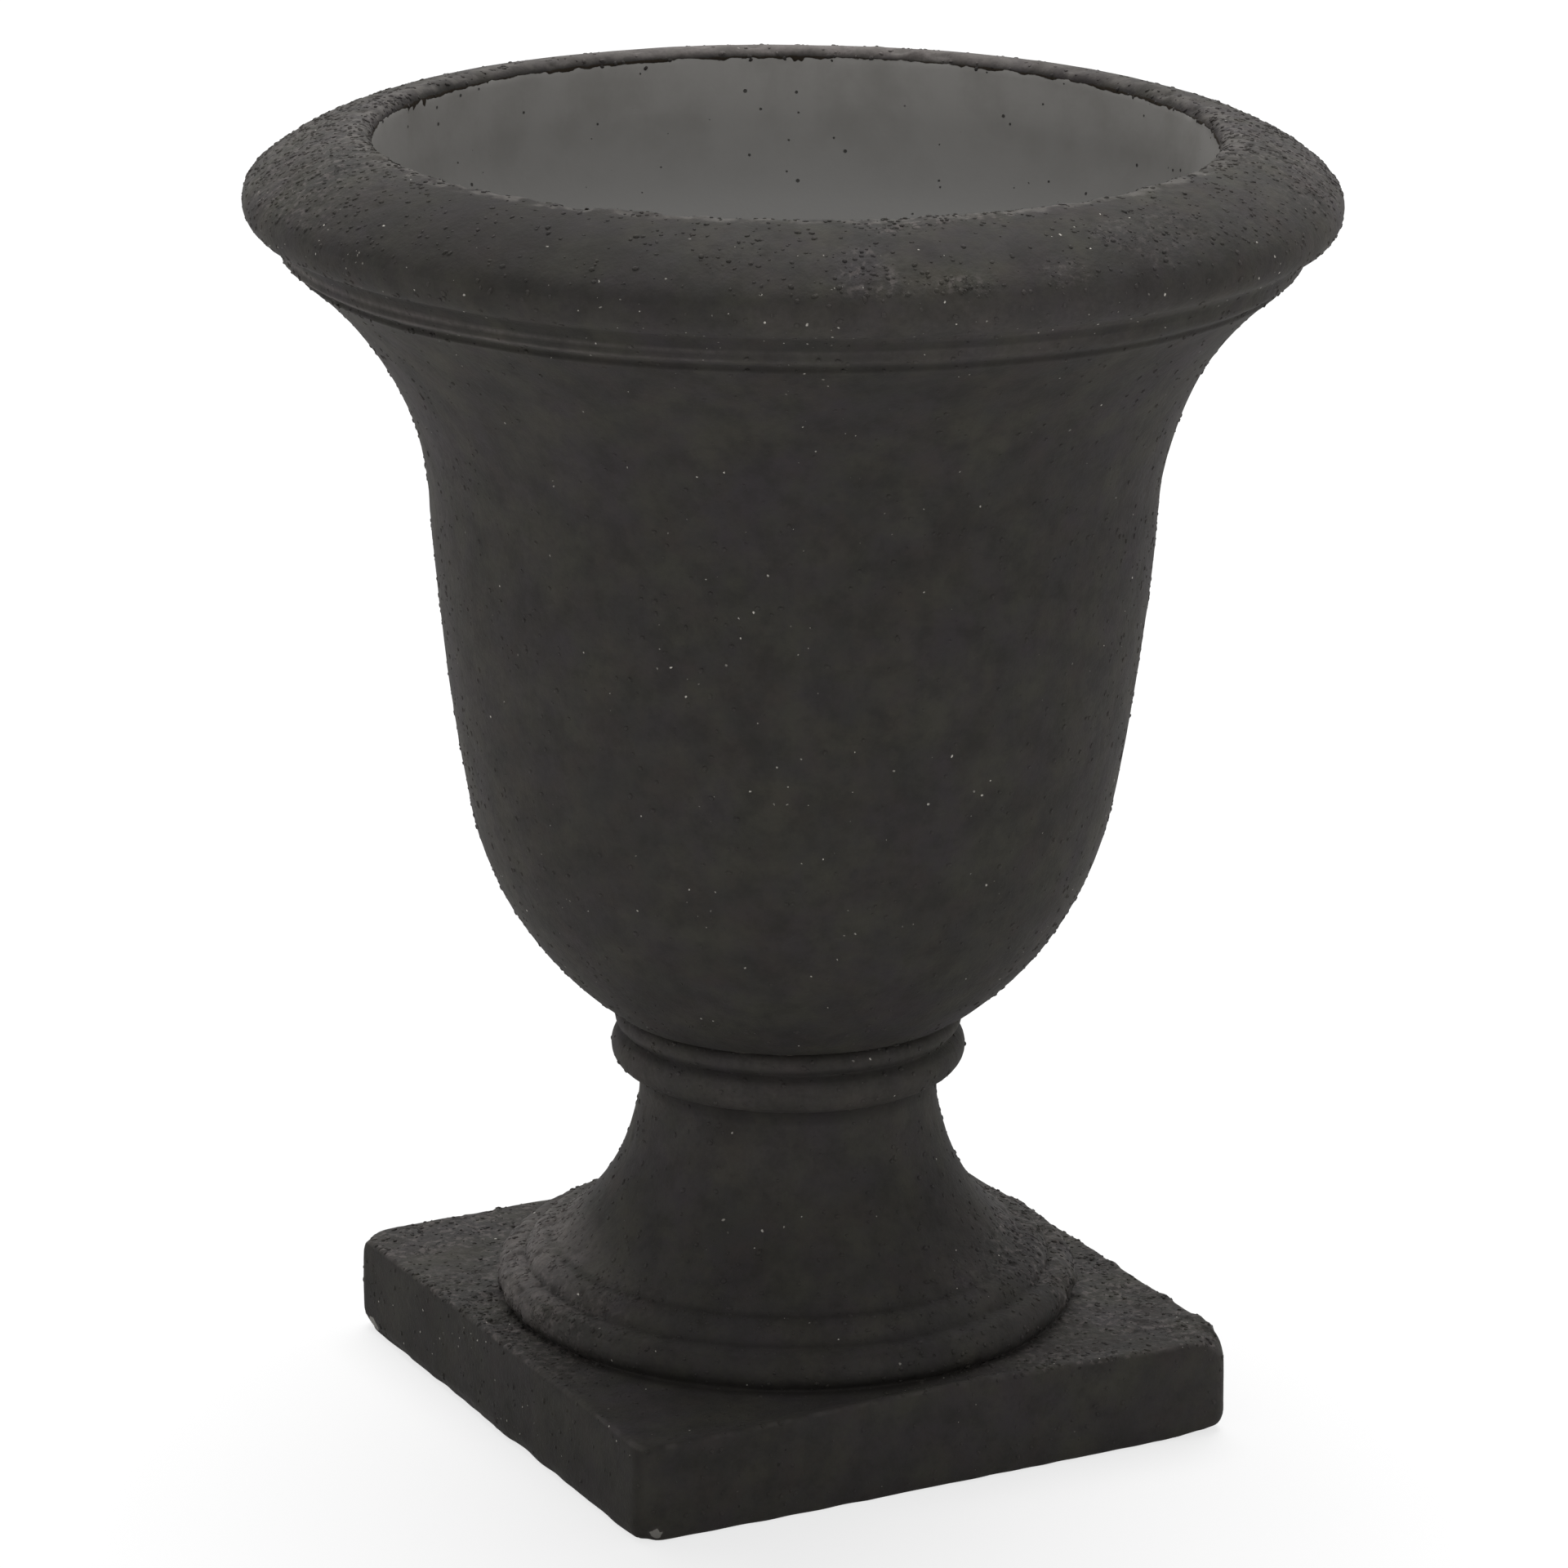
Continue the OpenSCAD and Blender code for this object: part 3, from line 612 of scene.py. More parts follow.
def make_pedestal(material):
    """The lower casting: its rows moved along the normals by the relief, with crumbs of mortar left on
    the foot at both sides and behind, a ring drawn in at its sides, a crowned plinth edge, and
    knocked-off corners."""
    points, faces = stitched(pedestal_rows())
    normals = outward(points, faces)
    radius = np.hypot(points[:, 0], points[:, 1])
    z = points[:, 2]
    towards = partial(facing, points)
    above = z > PLINTH_H - 0.002
    outer = (above | (radius > CORE_MOUTH_R + 0.01)) & (z > 0.0005)
    outer &= (radius > NECK_R - 0.002) & ~((radius < CORE_LOW[0]) & (z < PLINTH_H))
    sides = np.maximum(towards(TO_LEFT, 0.75), towards(TO_RIGHT, 0.75))
    sides = np.maximum(sides, 0.8 * towards(TO_BACK, 0.6))
    foot = fading(np.abs(z - 0.063), 0.012, 0.034) * above
    patches = ramp(cloud(points, 0.05, 131), -0.3, 0.5)
    rough = 0.15 + 0.2 * patches + (0.3 + 0.55 * patches) * foot * sides
    rough += 0.15 * ramp(normals[:, 2], 0.4, 0.9) * sides
    rough = np.clip(rough, 0, 1) * outer
    left_side, right_side = towards(TO_LEFT, 0.8), towards(TO_RIGHT, 0.8)
    # Painted light: lighter from a height of 0.1 m up, less so on the right
    dust_and_painted_light = 0.08 * ramp(z, 0.1, 0.14) * (1 - 0.8 * right_side)
    # Painted light near the top of the pedestal, except on the right
    dust_and_painted_light += 0.06 * ramp(z, PEDESTAL_Z - 0.036, PEDESTAL_Z - 0.026) * (1 - right_side)
    # Pale crust on the foot's left, with painted highlight where the ring turns to the light
    dust_and_painted_light += 0.55 * foot * towards(TO_LEFT + 0.1, 0.5) * (radius < FOOT_RING[0] + 0.012)
    # Painted shade on the plinth's side that faces -X
    dust_and_painted_light -= 0.4 * ramp(-normals[:, 0], 0.6, 0.95) * ~above
    # Painted shade on the up-facing plinth top outside the foot ring, under the bowl
    dust_and_painted_light -= 0.2 * ramp(normals[:, 2], 0.2, 0.9) * (radius > FOOT_RING[0] + 0.006)
    # Painted shade on the right side about a height of 0.1 m
    dust_and_painted_light -= 0.4 * right_side * fading(np.abs(z - 0.1), 0.015, 0.045)
    for crease_r, crease_z, dark, reach in PEDESTAL_CREASE_SHADE:
        dust_and_painted_light -= dark * fading(np.hypot(radius - crease_r, z - crease_z), 0, reach)
    height, pits = cast_relief(points, rough, 101)
    near, value = nearest_spot(points, 0.012, 0.55, 171)
    crumbs = np.clip(1 - near / 0.55, 0, 1) ** 0.7 * (0.4 + value)
    height += CRUMB_HEIGHT * crumbs * foot * sides * patches
    edge = (z > 0.0005) * (z < PLINTH_H + 0.001) * (radius > FOOT_RING[0] + 0.015)
    height += EDGE_UNEVEN * cloud(points, 0.035, 191) * edge
    moved = points + normals * (height * outer)[:, None]
    ring_zone = ramp(radius, 0.128, 0.136) * fading(radius, 0.146, 0.157) * above
    across = np.sin(np.arctan2(points[:, 1], points[:, 0]) - TO_CAMERA) ** 2
    moved[:, :2] *= (1 - RING_SQUEEZE / radius * ring_zone * across)[:, None]
    far_side = np.max(np.abs(points[:, :2]), axis=1)
    at_side = ramp(far_side, PLINTH_HALF - 0.012, PLINTH_HALF - 0.002)
    inset = 0.0015 + 0.0007 * cloud(points, 0.012, 192) + 0.0012 * left_side
    moved[:, :2] *= (1 - inset * fading(z, 0.001, 0.008) * at_side / PLINTH_HALF)[:, None]
    along = np.min(np.abs(points[:, :2]), axis=1) / PLINTH_HALF
    crown = at_side * ramp(z, 0.025, PLINTH_H - 0.002) * (1 - along ** 2)
    crown *= towards(-pi / 2, 0.8) + 0.3 * towards(pi, 0.8)
    moved[:, 2] += EDGE_CROWN * crown
    tilt = np.abs(normals[:, 2])
    worn = ramp(tilt, 0.2, 0.7) * fading(tilt, 0.8, 0.97)
    worn *= (z > PLINTH_H - 0.006) * (z < PLINTH_H + 0.0005) * (radius > 0.15)
    for direction, level, slope, depth, seed in CHIPS:
        corner = plinth_corner(direction, level)
        lean = (copysign(0.7071, corner[0]), copysign(0.7071, corner[1]), slope)
        moved = knocked_off(moved, corner, lean, depth, seed)
    moved[:, 2] = np.maximum(moved[:, 2], 0)
    for direction, place, size in FRESH_CHIPS:
        away = norm(moved - plinth_corner(direction, 0) - place, axis=1)
        worn = np.maximum(worn, 2 * fading(away, 0.6 * size, size))
    masks = {"rough": rough, "pits": pits, "worn": worn, "dust_and_painted_light": dust_and_painted_light}
    make_piece("pedestal_casting", moved, faces, material, ["pedestal"], masks)
    return moved, outward(moved, faces), rough * (z > 0.003), dust_and_painted_light


# Loose grains of sand and cement that stand out of the cast faces

SMOOTH_WEIGHT = 0.03


def grain_ball():
    """The twelve points and twenty faces of an icosahedron of radius 1."""
    gold = (1 + sqrt(5)) / 2
    points = [p for a in (-1, 1) for b in (-gold, gold) for p in ((0, a, b), (a, b, 0), (b, 0, a))]
    points = np.array(points) / hypot(1, gold)
    near = norm(points[:, None] - points[None], axis=2) < 1.2
    faces = [f for f in combinations(range(12), 3) if near[np.ix_(f, f)].all()]
    return points, np.array([f if det(points[list(f)]) > 0 else f[::-1] for f in faces])


def make_grains(name, skin, count, size, material, seed):
    """Many small uneven balls, each pressed into the skin at a random place. Where the skin is rough
    they lie closer together. Sizes are spread evenly on a log scale round the given radius."""
    points, normals, weight, dust_and_painted_light = skin
    chance = np.random.default_rng(seed)
    weight = np.where(weight > 0, weight + SMOOTH_WEIGHT, 0)
    picked = chance.choice(len(points), count, p=weight / weight.sum())
    ball, triangles = grain_ball()
    up = normals[picked]
    side = np.cross(up, chance.normal(size=(count, 3)))
    side /= norm(side, axis=1, keepdims=True)
    across = np.cross(up, side)
    radius = size * np.exp(chance.uniform(-0.55, 0.6, count))
    stretch = np.stack([chance.uniform(1.2, 2.0, count), chance.uniform(1.0, 1.5, count),
                        chance.uniform(0.5, 0.85, count)], axis=1)
    uneven = chance.uniform(0.82, 1.15, (count, 12, 1))
    local = ball[None] * uneven * stretch[:, None, :] * radius[:, None, None]
    centre = points[picked] + side * chance.uniform(-0.001, 0.001, (count, 1))
    centre -= up * (0.1 * radius)[:, None]
    grid = (centre[:, None] + local[..., :1] * side[:, None] + local[..., 1:2] * across[:, None]
            + local[..., 2:] * up[:, None])
    faces = triangles[None] + 12 * np.arange(count)[:, None, None]
    make_piece(name, grid.reshape(-1, 3), [faces.reshape(-1, 3)], material,
               masks={"dust_and_painted_light": np.repeat(dust_and_painted_light[picked], 12)})


# Shader parts

def linear(red, green, blue):
    """A colour as a screen shows it, from 0 to 255, as linear light with alpha 1."""
    values = [c / 255 for c in (red, green, blue)]
    return [c / 12.92 if c <= 0.04045 else ((c + 0.055) / 1.055) ** 2.4 for c in values] + [1.0]


# Colours of the stone, as they are under a plain white light; the pale and dark ones also serve as painted
# highlight and shade
TINTS = {"Base": linear(50, 49, 47), "Olive": linear(62, 61, 53), "Rust": linear(57, 51, 48),
         "Violet": linear(54, 50, 54), "Thick": linear(39, 38, 36)}
# Pale dusting on the coat, also used for painted highlight and sheen
DUST_AND_HIGHLIGHT = linear(102, 97, 95)
FLECK = linear(95, 89, 87)
# Dark of pits, also used for painted shade
PIT_AND_SHADE = linear(30, 28, 26)
SPECK = linear(190, 186, 178)
CEMENT = linear(161, 159, 156)
# Cement deeper in the bowl, darkened as painted shade
CEMENT_DEEP_SHADE = linear(136, 135, 133)
CEMENT_STAIN = linear(140, 138, 134)
CEMENT_SHADE = linear(92, 90, 87)
# Crest of the lip, lighter by wear and painted highlight
LIP_WEAR_AND_HIGHLIGHT = linear(84, 81, 78)
FRESH = linear(128, 126, 121)
RAGGED_EDGE_DARK = linear(44, 38, 31)


class Value:
    """What a node puts out. A sum with it places a Math node in the same tree."""

    def __init__(self, socket):
        self.socket, self.tree = socket, socket.id_data

    def __add__(self, other):
        return maths("ADD", self, other)

    def __sub__(self, other):
        return maths("SUBTRACT", self, other)

    def __rsub__(self, other):
        return maths("SUBTRACT", other, self)

    def __mul__(self, other):
        return maths("MULTIPLY", self, other)


def fill(socket, value):
    """The socket linked to a node's output, or set to a plain value."""
    if isinstance(value, Value):
        value.tree.links.new(value.socket, socket)
    else:
        socket.default_value = value


def add_node(tree, kind, inputs=None, **settings):
    """A shader node of that kind with its settings, and its inputs filled."""
    node = tree.nodes.new("ShaderNode" + kind)
    for key, value in settings.items():
        setattr(node, key, value)
    for key, value in (inputs or {}).items():
        fill(node.inputs[key], value)
    return node


def out_of(tree, output, kind, inputs=None, **settings):
    """One output of such a node."""
    return Value(add_node(tree, kind, inputs, **settings).outputs[output])


def outputs_of(node):
    """All that a node puts out, by name."""
    return {socket.name: Value(socket) for socket in node.outputs}


def maths(operation, first, second=0.0, clamp=False):
    """The result of a Math node. At least one of its values is a node's output."""
    tree = (first if isinstance(first, Value) else second).tree
    return out_of(tree, 0, "Math", {0: first, 1: second}, operation=operation, use_clamp=clamp)


def vector_maths(operation, first, second, output=0):
    """A result of a Vector Math node whose first value is a node's output."""
    return out_of(first.tree, output, "VectorMath", {0: first, 1: second}, operation=operation)


def between(value, low, high, to_low=0.0, to_high=1.0):
    """The value mapped from low..high to to_low..to_high, held at the ends and smoothed."""
    limits = {"Value": value, "From Min": low, "From Max": high, "To Min": to_low, "To Max": to_high}
    return out_of(value.tree, "Result", "MapRange", limits, interpolation_type="SMOOTHSTEP")


def noise(place, size, detail=3.0, roughness=0.55):
    """Noise about its middle value 0.5, with features of the given size in metres."""
    return out_of(place.tree, "Fac", "TexNoise",
                  {"Vector": place, "Scale": 1 / size, "Detail": detail, "Roughness": roughness})


def patches_of(place, size, detail, *limits):
    """That noise mapped by between, with its limits."""
    return between(noise(place, size, detail), *limits)


def mixed(share, first, second):
    """The first colour, with the share of the second."""
    return out_of(share.tree, 2, "Mix", {0: share, 6: first, 7: second}, data_type="RGBA")


def mask_of(place, name):
    """The piece's mask of that name."""
    return out_of(place.tree, "Fac", "Attribute", attribute_name=name)


def new_group(name, inputs, outputs):
    """A node group with no more than its sockets, what it is given, and its output's sockets. Each label
    comes with the socket's first value, or with its kind."""
    group = bpy.data.node_groups.new(name, "ShaderNodeTree")
    for side, sockets in (("INPUT", inputs), ("OUTPUT", outputs)):
        for label, value in sockets.items():
            kind = value if isinstance(value, str) else "Float"
            socket = group.interface.new_socket(label, in_out=side, socket_type=f"NodeSocket{kind}")
            if kind != value:
                socket.default_value = value
    return group, outputs_of(group.nodes.new("NodeGroupInput")), group.nodes.new("NodeGroupOutput").inputs


def use_group(group, place, **values):
    """What the group puts out with these values, in the tree that place is in."""
    return outputs_of(add_node(place.tree, "Group", {"Vector": place, **values}, node_tree=group))


def dots_group():
    """Scattered round dots: one to a cell of the given size, of which the share shows."""
    group, given, result = new_group(
        "Scattered dots", {"Vector": "Vector", "Cell": 0.01, "Radius": 0.1, "Share": 0.3},
        {"Mask": "Float"})
    cells = outputs_of(add_node(group, "TexVoronoi", {
        "Vector": given["Vector"], "Scale": maths("DIVIDE", 1.0, given["Cell"])}))
    value = outputs_of(add_node(group, "SeparateColor", {"Color": cells["Color"]}))
    size = given["Radius"] * (value["Green"] * 1.2 + 0.4)
    disc = between(cells["Distance"], size * 0.6, size, 1.0, 0.0)
    fill(result["Mask"], disc * maths("LESS_THAN", value["Red"], given["Share"]))
    return group


def mottle_group():
    """The base colour with soft clouds of three other tints, each of its own size and place, and
    darker where the coat is thick."""
    group, given, result = new_group(
        "Mottled tint", {"Vector": "Vector", **dict.fromkeys(TINTS, "Color"), "Amount": 0.6},
        {"Color": "Color"})
    colour = given["Base"]
    for label, size, shift in (("Rust", 0.024, 7.0), ("Violet", 0.043, 11.0), ("Olive", 0.03, 3.0),
                               ("Thick", 0.017, 5.0)):
        moved = vector_maths("ADD", given["Vector"], (shift,) * 3)
        share = between(noise(moved, size, 6.0, 0.65), 0.38, 0.72)
        colour = mixed(share * given["Amount"], colour, given[label])
    fill(result["Color"], colour)
    return group


def cracks_group():
    """Short dark cracks: the lines along which a noise passes its middle value, kept where a larger
    noise is high."""
    group, given, result = new_group(
        "Short cracks", {"Vector": "Vector", "Share": 0.5}, {"Mask": "Float"})
    off = maths("ABSOLUTE", noise(given["Vector"], 0.01, 3.0, 0.6) - 0.5)
    kept = patches_of(given["Vector"], 0.016, 2.0, 0.5, 0.6) * given["Share"]
    fill(result["Mask"], between(off, 0.004, 0.018, 1.0, 0.0) * kept)
    return group


def grain_group():
    """Fine relief of a sandy cast face: three sizes of noise, the finest for sand, and its height."""
    group, given, result = new_group(
        "Sandy grain", {"Vector": "Vector", "Rough": 0.5}, {"Height": "Float", "Shade": "Float"})
    place = given["Vector"]
    grit = noise(place, 0.0042, 3.0, 0.6)
    lumps = noise(place, 0.011, 3.0, 0.5)
    fill(result["Height"], noise(place, 0.0016, 2.0, 0.6) * 0.28
         + (grit * (given["Rough"] + 0.25) + lumps * 0.3))
    fill(result["Shade"], between(grit, 0.3, 0.5))
    return group


DOTS, MOTTLE, CRACKS, GRAIN = dots_group(), mottle_group(), cracks_group(), grain_group()


def cleared_tree(owner):
    """The node tree of a material or world, with nothing in it."""
    owner.use_nodes = True
    owner.node_tree.nodes.clear()
    return owner.node_tree


def new_material(name):
    """A material with its Principled shader and its Object coordinates."""
    material = bpy.data.materials.new(name)
    tree = cleared_tree(material)
    shader = add_node(tree, "BsdfPrincipled")
    fill(add_node(tree, "OutputMaterial").inputs["Surface"], Value(shader.outputs[0]))
    return material, shader, out_of(tree, "Object", "TexCoord")


def dress(shader, colour, roughness, height, depth):
    """The shader's colour and roughness, and a bump of the given depth in metres on its normal."""
    bump = out_of(height.tree, "Normal", "Bump",
                  {"Height": height, "Distance": depth, "Strength": 1.0})
    for label, value in (("Base Color", colour), ("Roughness", roughness), ("Normal", bump)):
        fill(shader.inputs[label], value)


def mottled(place):
    """The coat's own mottled colour."""
    return use_group(MOTTLE, place, Amount=0.6, **TINTS)["Color"]


def stone_finish(place):
    """Colour and height of the dark coat: mottled, paler by dusting and painted highlight where the mask of
    dusting and painted light is above 0, darker by painted shade where it is below 0 and in the hollows of
    the grit, pitted and speckled."""
    rough, pits, dust_and_painted_light = (mask_of(place, name) for name in ("rough", "pits", "dust_and_painted_light"))
    grain = use_group(GRAIN, place, Rough=rough)
    patchy = patches_of(place, 0.018, 5.0, 0.3, 0.7, 0.6, 1.2) * patches_of(
        place, 0.0028, 2.0, 0.3, 0.7, 0.75, 1.25)
    # Dusting and painted highlight where the mask is above 0
    colour = mixed(dust_and_painted_light * patchy, mottled(place), DUST_AND_HIGHLIGHT)
    # Painted shade where the mask of dusting and painted light is below 0
    colour = mixed(maths("MULTIPLY", dust_and_painted_light, -1.0, clamp=True), colour, PIT_AND_SHADE)
    # Painted shade in the low parts of the grit
    colour = mixed((1.0 - grain["Shade"]) * (rough * 0.3 + 0.05), colour, PIT_AND_SHADE)
    flecks = patches_of(place, 0.0036, 3.0, 0.5, 0.66) * between(rough, 0.4, 0.85, 0.0, 0.45)
    colour = mixed(flecks, colour, FLECK)
    wander = out_of(place.tree, "Color", "TexNoise",
                    {"Vector": place, "Scale": 420.0, "Detail": 2.0})
    wavy = vector_maths("ADD", place, vector_maths("MULTIPLY", wander, (0.0022,) * 3))
    often = between(rough, 0.25, 0.85, 0.0, 0.7)
    holes = use_group(DOTS, wavy, Cell=0.0042, Radius=0.13, Share=often)["Mask"]
    cracks = use_group(CRACKS, wavy, Share=between(rough, 0.45, 0.9))["Mask"]
    holes = maths("MAXIMUM", maths("MAXIMUM", holes, pits * 0.6), cracks)
    colour = mixed(holes * 0.55, colour, PIT_AND_SHADE)
    level = out_of(place.tree, "Z", "SeparateXYZ", {0: place})
    on_roll = between(level, RIM_Z - 0.055, RIM_Z - 0.045) * between(
        level, RIM_Z - 0.03, RIM_Z - 0.016, 1.0, 0.05)
    clusters = patches_of(place, 0.042, 3.0, 0.44, 0.58, 0.06, 1.0) * (on_roll + 0.24)
    specks = use_group(DOTS, wavy, Cell=0.0046, Radius=0.1, Share=clusters)["Mask"]
    colour = mixed(specks * patches_of(place, 0.007, 2.0, 0.35, 0.65, 0.2, 0.9), colour, SPECK)
    return colour, grain["Height"] - holes * 0.7


def set_stone(shader, colour, height):
    """The dull stone surface: a weak, wide gloss that shows only where it is seen edge-on."""
    shader.inputs["Specular IOR Level"].default_value = 0.11
    shader.inputs["Specular Tint"].default_value = (1.0, 0.97, 0.97, 1.0)
    dress(shader, colour, between(height, 0.2, 1.2, 0.8, 0.66), height, 0.0007)


def bowl_material():
    """The bowl's dark coat outside and over the lip, and bare cement inside, with a ragged dark edge
    that runs down a little where the coat ends."""
    material, shader, place = new_material("Cast stone, bowl")
    colour, height = stone_finish(place)
    depth = mask_of(place, "past_lip")
    wavy = depth + (noise(place, 0.007, 4.0) - 0.5) * 0.009
    # A band over the crest of the lip, lighter by wear and by painted highlight
    lip = between(wavy, -0.0085, -0.0045) * between(wavy, 0.004, 0.0062, 1.0, 0.0)
    colour = mixed(lip * patches_of(place, 0.009, 4.0, 0.4, 0.65, 0.0, 0.7), colour, LIP_WEAR_AND_HIGHLIGHT)
    drawn_out = out_of(place.tree, 0, "Mapping", {"Vector": place, "Scale": (1.0, 1.0, 0.35)})
    streak_share = patches_of(place, 0.05, 2.0, 0.48, 0.62)
    streaks = patches_of(drawn_out, 0.008, 2.0, 0.58, 0.72, 0.0, 0.0034) * streak_share
    past_coat = depth - (noise(place, 0.006) * 0.0022 + 0.0062)
    edge_reach = patches_of(place, 0.022, 3.0, 0.38, 0.6, 0.1, 1.0) * 0.0013 + streaks
    bare = between(past_coat - edge_reach, -0.0002, 0.0002)
    dark = between(past_coat, -0.0003, 0.0002) * (1.0 - bare)
    cement = mixed(patches_of(place, 0.035, 5.0, 0.35, 0.72, 0.0, 0.7), CEMENT, CEMENT_STAIN)
    # Painted shade: the cement darker deeper in the bowl
    cement = mixed(between(depth, 0.01, 0.085), cement, CEMENT_DEEP_SHADE)
    # Painted shade on the inside walls at the sides
    cement = mixed(mask_of(place, "dust_and_painted_light") * 2.8, cement, CEMENT_SHADE)
    often = patches_of(place, 0.06, 2.0, 0.4, 0.6, 0.15, 1.0)
    pinholes = use_group(DOTS, place, Cell=0.0085, Radius=0.085, Share=often)["Mask"] * 0.8
    cement = mixed(pinholes, cement, PIT_AND_SHADE)
    colour = mixed(dark, mixed(bare, colour, cement), RAGGED_EDGE_DARK)
    smooth = noise(place, 0.003) * 0.12 - pinholes
    set_stone(shader, colour, height * (1.0 - bare) + smooth * bare)
    return material


def pedestal_material():
    """The pedestal's dark coat, rubbed lighter along the plinth's arrises and pale in fresh chips."""
    material, shader, place = new_material("Cast stone, pedestal")
    colour, height = stone_finish(place)
    worn = mask_of(place, "worn")
    rubbed = worn * patches_of(place, 0.012, 4.0, 0.4, 0.7, 0.0, 0.25)
    fresh = between(worn + noise(place, 0.0018) * 1.2, 1.5, 1.8)
    set_stone(shader, mixed(fresh, mixed(rubbed, colour, DUST_AND_HIGHLIGHT), FRESH), height)
    return material


def grain_material():
    """Loose grains in the coat's own colours, with the same dusting and painted light as the coat around
    them.
    """
    material, shader, place = new_material("Cast stone, grains")
    colour = mixed(mask_of(place, "dust_and_painted_light") + 0.06, mottled(place), DUST_AND_HIGHLIGHT)
    colour = mixed(patches_of(place, 0.004, 2.0, 0.5, 0.7, 0.0, 0.1), colour, PIT_AND_SHADE)
    set_stone(shader, colour, noise(place, 0.0012, 2.0))
    return material


def metal_material(name, tint, dull, roughness):
    """Plated steel: soft spangle, dull bloom in patches, and a fine bumpy grain."""
    material, shader, place = new_material(name)
    spangle = out_of(place.tree, "Color", "TexVoronoi", {"Vector": place, "Scale": 220.0})
    bright = out_of(place.tree, "Red", "SeparateColor", {"Color": spangle})
    bloom = patches_of(place, 0.009, 4.0, 0.35, 0.7)
    shader.inputs["Metallic"].default_value = 1.0
    dress(shader, mixed(bright * 0.25, mixed(bloom * 0.7, tint, dull), dull),
          bloom * 0.25 + (bright * 0.08 + roughness), noise(place, 0.0008), 0.00004)
    return material


def mortar_material():
    """Grey bedding mortar: sandy, with paler lime."""
    material, shader, place = new_material("Bedding mortar")
    colour = mixed(patches_of(place, 0.006, 4.0, 0.3, 0.7), linear(66, 62, 56), linear(92, 88, 80))
    sand = noise(place, 0.0011, 2.0)
    dress(shader, mixed(between(sand, 0.3, 0.5, 0.5, 0.0), colour, PIT_AND_SHADE), 0.95, sand, 0.0005)
    return material


def rubber_material():
    """Black rubber with a faint grey bloom."""
    material, shader, place = new_material("Gasket rubber")
    bloom = patches_of(place, 0.01, 4.0, 0.35, 0.75)
    dress(shader, mixed(bloom, linear(30, 30, 31), linear(58, 57, 55)),
          between(bloom, 0.0, 1.0, 0.55, 0.75), noise(place, 0.001, 2.0), 0.00005)
    return material


# Fixing

THREAD_PITCH = 0.0015
THREAD_DEPTH = 0.0008
BORE_R = TUBE_R - 0.003
TUBE_COLUMNS, ROWS_TO_PITCH = 48, 6


def make_tube(material):
    """The drain tube with its thread: the outer radius falls from the crest by the thread's depth times
    a triangle wave of z / pitch - angle / full turn, and fades out at both ends."""
    count = round((TUBE_HIGH.z - TUBE_LOW.z) / THREAD_PITCH * ROWS_TO_PITCH)
    z = np.linspace(TUBE_LOW.z, TUBE_HIGH.z, count + 1)
    angle = np.arange(TUBE_COLUMNS) * 2 * pi / TUBE_COLUMNS
    phase = z[:, None] / THREAD_PITCH - angle[None] / (2 * pi)
    wave = np.abs(2 * (phase % 1) - 1)
    ends = ramp(np.minimum(z - TUBE_LOW.z, TUBE_HIGH.z - z), 0, THREAD_PITCH)[:, None]
    radius = TUBE_R - THREAD_DEPTH * (wave * ends + (1 - ends))
    rows = turned(zip(radius[..., None], z), TUBE_COLUMNS)
    rows += turned(straight((BORE_R, TUBE_HIGH.z), (BORE_R, TUBE_LOW.z), 0.012), TUBE_COLUMNS)
    points, faces = stitched(rows)
    make_piece("threaded_drain_tube", points, faces, material, ["drain_tube"])


BED_COLUMNS = 240


def make_bed(material):
    """The mortar bed: a flat ring whose outer edge is pressed out unevenly and rounded."""
    outer = BED_HIGH.x
    middle = (BED_LOW.z + BED_HIGH.z) / 2
    bulge = bowed((outer - 0.001, BED_LOW.z), (outer - 0.001, BED_HIGH.z), 0.0008, 0.0005)
    outline = joined(straight((HOLE_R, BED_LOW.z), bulge[0], 0.012), bulge,
                     straight(bulge[-1], (HOLE_R, BED_HIGH.z), 0.012))
    points, faces = stitched(turned(outline, BED_COLUMNS))
    radius = np.hypot(points[:, 0], points[:, 1])
    push = 1 + 0.012 * cloud(points * (1, 1, 0) + (0, 0, middle), 0.007, 301) * (radius > outer - 0.005)
    make_piece("mortar_bed", points * np.stack([push, push, np.ones_like(push)], axis=1), faces,
               material, ["setting_bed"])


# The urn
stone_bowl = make_bowl(bowl_material())
stone_pedestal = make_pedestal(pedestal_material())
loose = grain_material()
make_grains("bowl_grains", stone_bowl, 8000, 0.0006, loose, 11)
make_grains("pedestal_grains", stone_pedestal, 4500, 0.0006, loose, 12)
zinc = metal_material("Zinc plate", linear(176, 178, 180), linear(122, 122, 120), 0.34)
make_tube(zinc)
make_bed(mortar_material())
CAD_FINISHES = {
    "bowl_washer": zinc, "bowl_nut": zinc, "clamp_plate": zinc, "lock_washer": zinc,
    "clamp_nut": zinc, "bowl_gasket": rubber_material(),
    "drain_screen": metal_material("Screen steel", linear(120, 120, 118), linear(92, 80, 66), 0.45)}
for node_name, finish in CAD_FINISHES.items():
    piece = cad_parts[node_name]
    piece.data.materials.clear()
    piece.data.materials.append(finish)


# Floor, light and camera

SKY_LEVEL = 0.62
SKY_BACK = 0.45
FLOOR_HALF = 30.0
FLOOR_BOUNCE = 0.6
FLOOR_LIT = 0.2
FLOOR_WHITE = 0.74


def seen_by_camera(tree):
    """1 for the camera's own rays, and for those that reach it by way of gloss or glass."""
    path = outputs_of(add_node(tree, "LightPath"))
    return maths("MAXIMUM", path["Is Camera Ray"],
                 maths("MAXIMUM", path["Is Glossy Ray"], path["Is Transmission Ray"]))


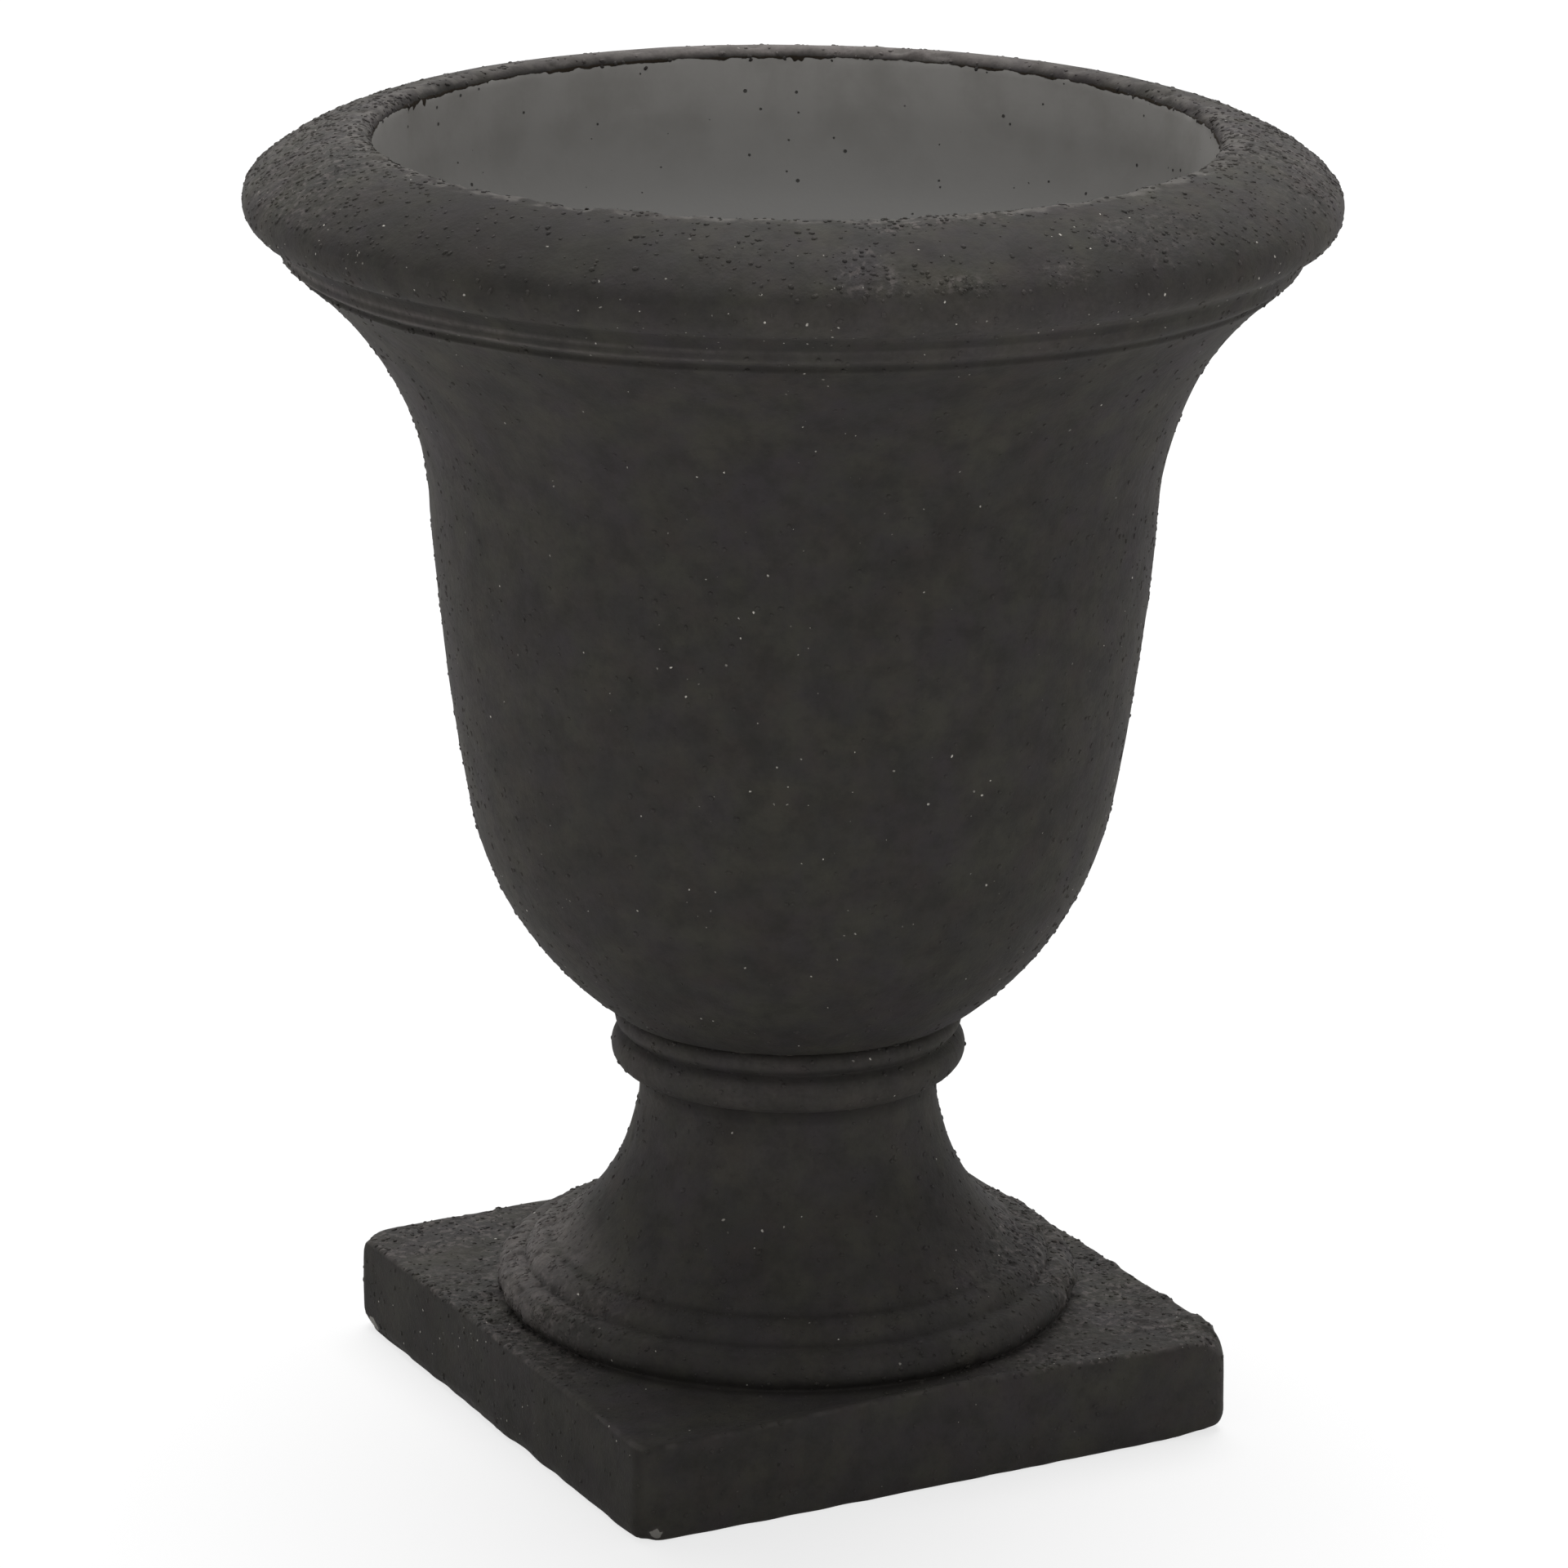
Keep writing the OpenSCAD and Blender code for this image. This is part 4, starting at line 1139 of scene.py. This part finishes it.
def make_floor():
    """A pale floor: the camera sees its lit colour with white added, so that it is white where the
    light is full and keeps the urn's shadow. Other rays see it as a plain mid tone."""
    mesh = bpy.data.meshes.new("floor")
    mesh.from_pydata([(x * FLOOR_HALF, y * FLOOR_HALF, 0) for x, y in ((-1, -1), (1, -1), (1, 1), (-1, 1))],
                     [], [(0, 1, 2, 3)])
    material = bpy.data.materials.new("Pale floor")
    tree = cleared_tree(material)
    lit, plain = (out_of(tree, 0, "BsdfDiffuse", {"Color": (level,) * 3 + (1,)})
                  for level in (FLOOR_LIT, FLOOR_BOUNCE))
    white = out_of(tree, 0, "Emission", {"Color": (1, 1, 1, 1), "Strength": FLOOR_WHITE})
    pale = out_of(tree, 0, "AddShader", {0: lit, 1: white})
    both = out_of(tree, 0, "MixShader", {0: seen_by_camera(tree), 1: plain, 2: pale})
    add_node(tree, "OutputMaterial", {"Surface": both})
    mesh.materials.append(material)
    add_object("floor", mesh)


def make_world():
    """Soft light from all round, stronger from behind, and white where the camera looks past the floor.
    Strength = level + a second level times the share of the direction that points away from the camera."""
    world = bpy.data.worlds.new("Studio")
    bpy.context.scene.world = world
    tree = cleared_tree(world)
    away = (cos(TO_BACK), sin(TO_BACK), 0.0)
    direction = out_of(tree, "Generated", "TexCoord")
    behind = vector_maths("DOT_PRODUCT", direction, away, "Value")
    lit = maths("MAXIMUM", behind, 0.0) * SKY_BACK + SKY_LEVEL
    seen = seen_by_camera(tree)
    sky = out_of(tree, 0, "Background",
                 {"Color": (1, 1, 1, 1), "Strength": lit * (1.0 - seen) + seen})
    add_node(tree, "OutputWorld", {"Surface": sky})


def make_sun(name, strength, spread, tilt, azimuth):
    """A broad soft light from above: tilt is its angle from straight down, azimuth where it comes from."""
    light = bpy.data.lights.new(name, "SUN")
    light.energy = strength
    light.angle = radians(spread)
    lamp = add_object(name, light)
    away = Vector((cos(azimuth) * sin(tilt), sin(azimuth) * sin(tilt), cos(tilt)))
    lamp.rotation_euler = away.to_track_quat("Z", "Y").to_euler()


def make_camera():
    """The photograph's camera: behind the urn's near corner, pitched down and rolled a little."""
    data = bpy.data.cameras.new("camera")
    data.lens = CAMERA_LENS
    data.sensor_width = 36.0
    data.clip_end = 100.0
    camera = add_object("camera", data)
    back = -CAMERA_DISTANCE * Vector((sin(CAMERA_TURN), cos(CAMERA_TURN), 0))
    camera.matrix_world = (Matrix.Translation(back + Vector((0, 0, CAMERA_HEIGHT)))
                           @ Matrix.Rotation(-CAMERA_TURN - CAMERA_YAW, 4, "Z")
                           @ Matrix.Rotation(pi / 2 - CAMERA_PITCH, 4, "X")
                           @ Matrix.Rotation(CAMERA_ROLL, 4, "Z"))
    bpy.context.scene.camera = camera


make_floor()
make_world()
make_sun("overhead", 3.2, 46, radians(21), TO_BACK)
make_camera()
bpy.context.scene.view_settings.view_transform = "Standard"
